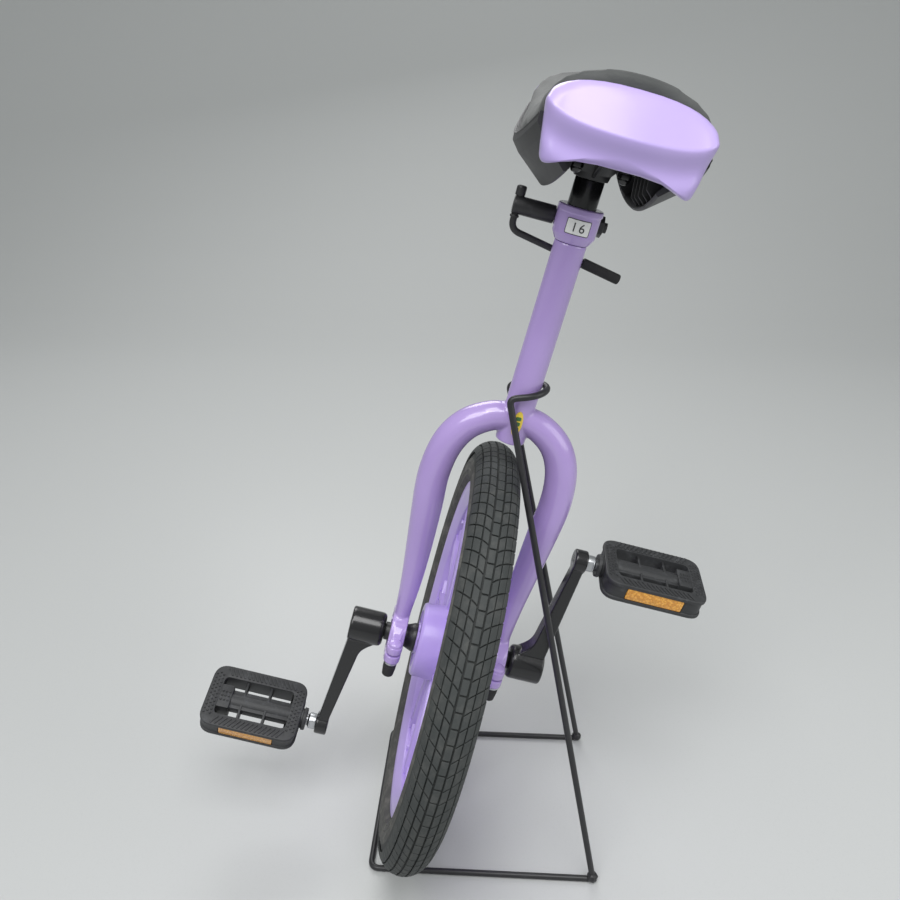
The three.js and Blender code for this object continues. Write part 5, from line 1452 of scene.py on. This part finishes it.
def bumper_shape():
    half, low, top = BUMPER_HALF - 0.8, bumper_low.z, BUMPER_TOP
    arch = [(x * 0.9, low + 1.6 + BUMPER_ARCH * (1 - (x / 44) ** 4), 6)
            for x in (-40, -30, -15, 0, 15, 30, 40)]
    right = [(half - 6, low - 0.6, 5), (half - 3.5, low + 12, 10), (half, low + 35, 8)]
    right += [(half * math.cos(a) ** 0.8, low + 35 + (top - low - 35) * math.sin(a) ** 0.9, 12)
              for a in [math.radians(10 * k) for k in range(2, 9)]]
    corners = arch + right + [(0, top, 30)] + [(-x, z, r) for x, z, r in reversed(right)]
    rough = [Vector(p) for p in eased(corners, 9, 8)]
    line = []
    for a, b in zip(rough, rough[1:] + rough[:1]):
        pieces = max(1, round((b - a).length / 1.1))
        line += [a.lerp(b, k / pieces) for k in range(pieces)]
    centre = Vector((0, low + 25))
    shape = bmesh.new()
    rings = [(1.0, 0.0)]
    rings += [(1 - 0.62 * RIM / 50 * (1 - math.cos(math.radians(a))) * 1.6, None)
              for a in (0, 12, 24, 36, 48, 60, 72, 84)]
    last = rings[-1][0]
    rings += [(last * (1 - k / 34), None) for k in range(1, 34)]
    previous = None
    for share, flat in rings:
        ring = []
        for spot in line:
            at = centre + (spot - centre) * share
            inward = (spot - centre).length * (1 - share)
            face = bumper_depth(at.x, at.y)
            edge = min(RIM, face - 1)
            short = max(0.0, 1 - inward / edge)
            depth = 0.0 if flat is not None else face - edge * (1 - math.sqrt(max(0.0, 1 - short * short)))
            ring.append(shape.verts.new((at.x, depth, at.y)))
        if previous:
            for k in range(len(ring)):
                on = (k + 1) % len(ring)
                shape.faces.new((previous[k], previous[on], ring[on], ring[k]))
        else:
            shape.faces.new(ring)
        previous = ring
    shape.faces.new(previous)
    bmesh.ops.recalc_face_normals(shape, faces=shape.faces)
    return shape


for where, end in ENDS.items():
    bumper = bumper_shape()
    moved(bumper, 0, SADDLE_REACH + 0.3, 0)
    if end < 0:
        turned(bumper, 180, "Z")
    finished(bumper, f"end_bumper_{where}", "saddle", bumper_plastic, [f"bumper_{where}"],
             sharp=60)

# %% Bracket and nuts
PLATE_HALF = (23.6, 51.6)
BOLT_X, BOLT_Y = 17, 40
PLATE_TOP = UNDER - 0.3


def bracket():
    """A pressed plate, bent like the saddle and welded to a flared socket on the post."""
    outline = eased([(-PLATE_HALF[0], -PLATE_HALF[1]), (PLATE_HALF[0], -PLATE_HALF[1]),
                     (PLATE_HALF[0], PLATE_HALF[1]), (-PLATE_HALF[0], PLATE_HALF[1])], 9, 8)
    shape = plate(outline, PLATE_TOP - 3, PLATE_TOP, "Z")
    for y in range(-48, 49, 6):
        bmesh.ops.bisect_plane(shape, geom=shape.verts[:] + shape.edges[:] + shape.faces[:],
                               plane_co=(0, y, 0), plane_no=(0, 1, 0))
    socket = lathe(eased([(0, post_high.z + 0.4), (POST_RADIUS + 2, post_high.z + 0.4, 0.8),
                          (POST_RADIUS + 3, post_high.z + 5, 3), (POST_RADIUS + 8, PLATE_TOP - 2.4, 3),
                          (POST_RADIUS + 8, PLATE_TOP - 1, 0.3), (0, PLATE_TOP - 1)], 1, 4, False), 64, "Z")
    gussets = [plate([(0, post_high.z + 2), (POST_RADIUS + 2, post_high.z + 2), (40, PLATE_TOP - 2.5 + 2),
                      (0, PLATE_TOP - 1)], -1.5, 1.5, "X", 0.4, 1) for _ in range(2)]
    turned(gussets[1], 180, "Z")
    for v in shape.verts:
        v.co.z += bend_at(v.co.y)
    return joined(shape, socket, *gussets)


bolt_line = [(0, PLATE_TOP - 12), (3.4, PLATE_TOP - 12), (3.4, PLATE_TOP + 12), (0, PLATE_TOP + 12)]
bolts = [lathe(bolt_line, 24, "Z") for _ in range(4)]
spots = [(side_name, where, side * BOLT_X, end * BOLT_Y) for side_name, side in SIDES.items()
         for where, end in ENDS.items()]
for hole, (_, _, x, y) in zip(bolts, spots):
    moved(hole, x, y)
finished(softened(cut(bracket(), *bolts), 0.5, 2, 40), "saddle_plate", "saddle", black_coat,
         ["saddle_bracket"])


def acorn_nut():
    """A domed nut on a washer, head down."""
    section = [(0, -9), (2.8, -8.6, 1.6), (4.2, -6, 1.6), (4.2, -4.4, 0.3), (0, -4.4)]
    dome = lathe(eased(section, 0.5, 5, False), 48, "Z")
    hexagon = plate(arc((0, 0), 4.9, 0, 300, 5), -5, -1, "Z", 0.4, 2)
    washer = lathe(eased([(0, -1.1), (6.2, -1.1), (6.2, 0), (0, 0)], 0.3, 2, False), 48, "Z")
    shank = lathe([(0, -1), (2.6, -1), (2.6, 3.6), (0, 3.6)], 24, "Z")
    return gathered([dome, hexagon, washer, shank])


for side_name, where, x, y in spots:
    nut = moved(acorn_nut(), x, y, PLATE_TOP - 3.2 + bend_at(y))
    finished(nut, f"acorn_nut_{side_name}_{where}", "saddle", black_enamel,
             [f"saddle_nut_{side_name}_{where}"])

# %% [markdown]
# ## What is left of the CAD model
# Only a part that needs nothing finer still shows as CAD. It keeps its own mesh and takes a material here.

# %% Carried over
for name, piece in frame["nodes"].items():
    if not piece.hide_render:
        print("carried over", name)
        piece.data.materials.clear()
        piece.data.materials.append(black_rubber)
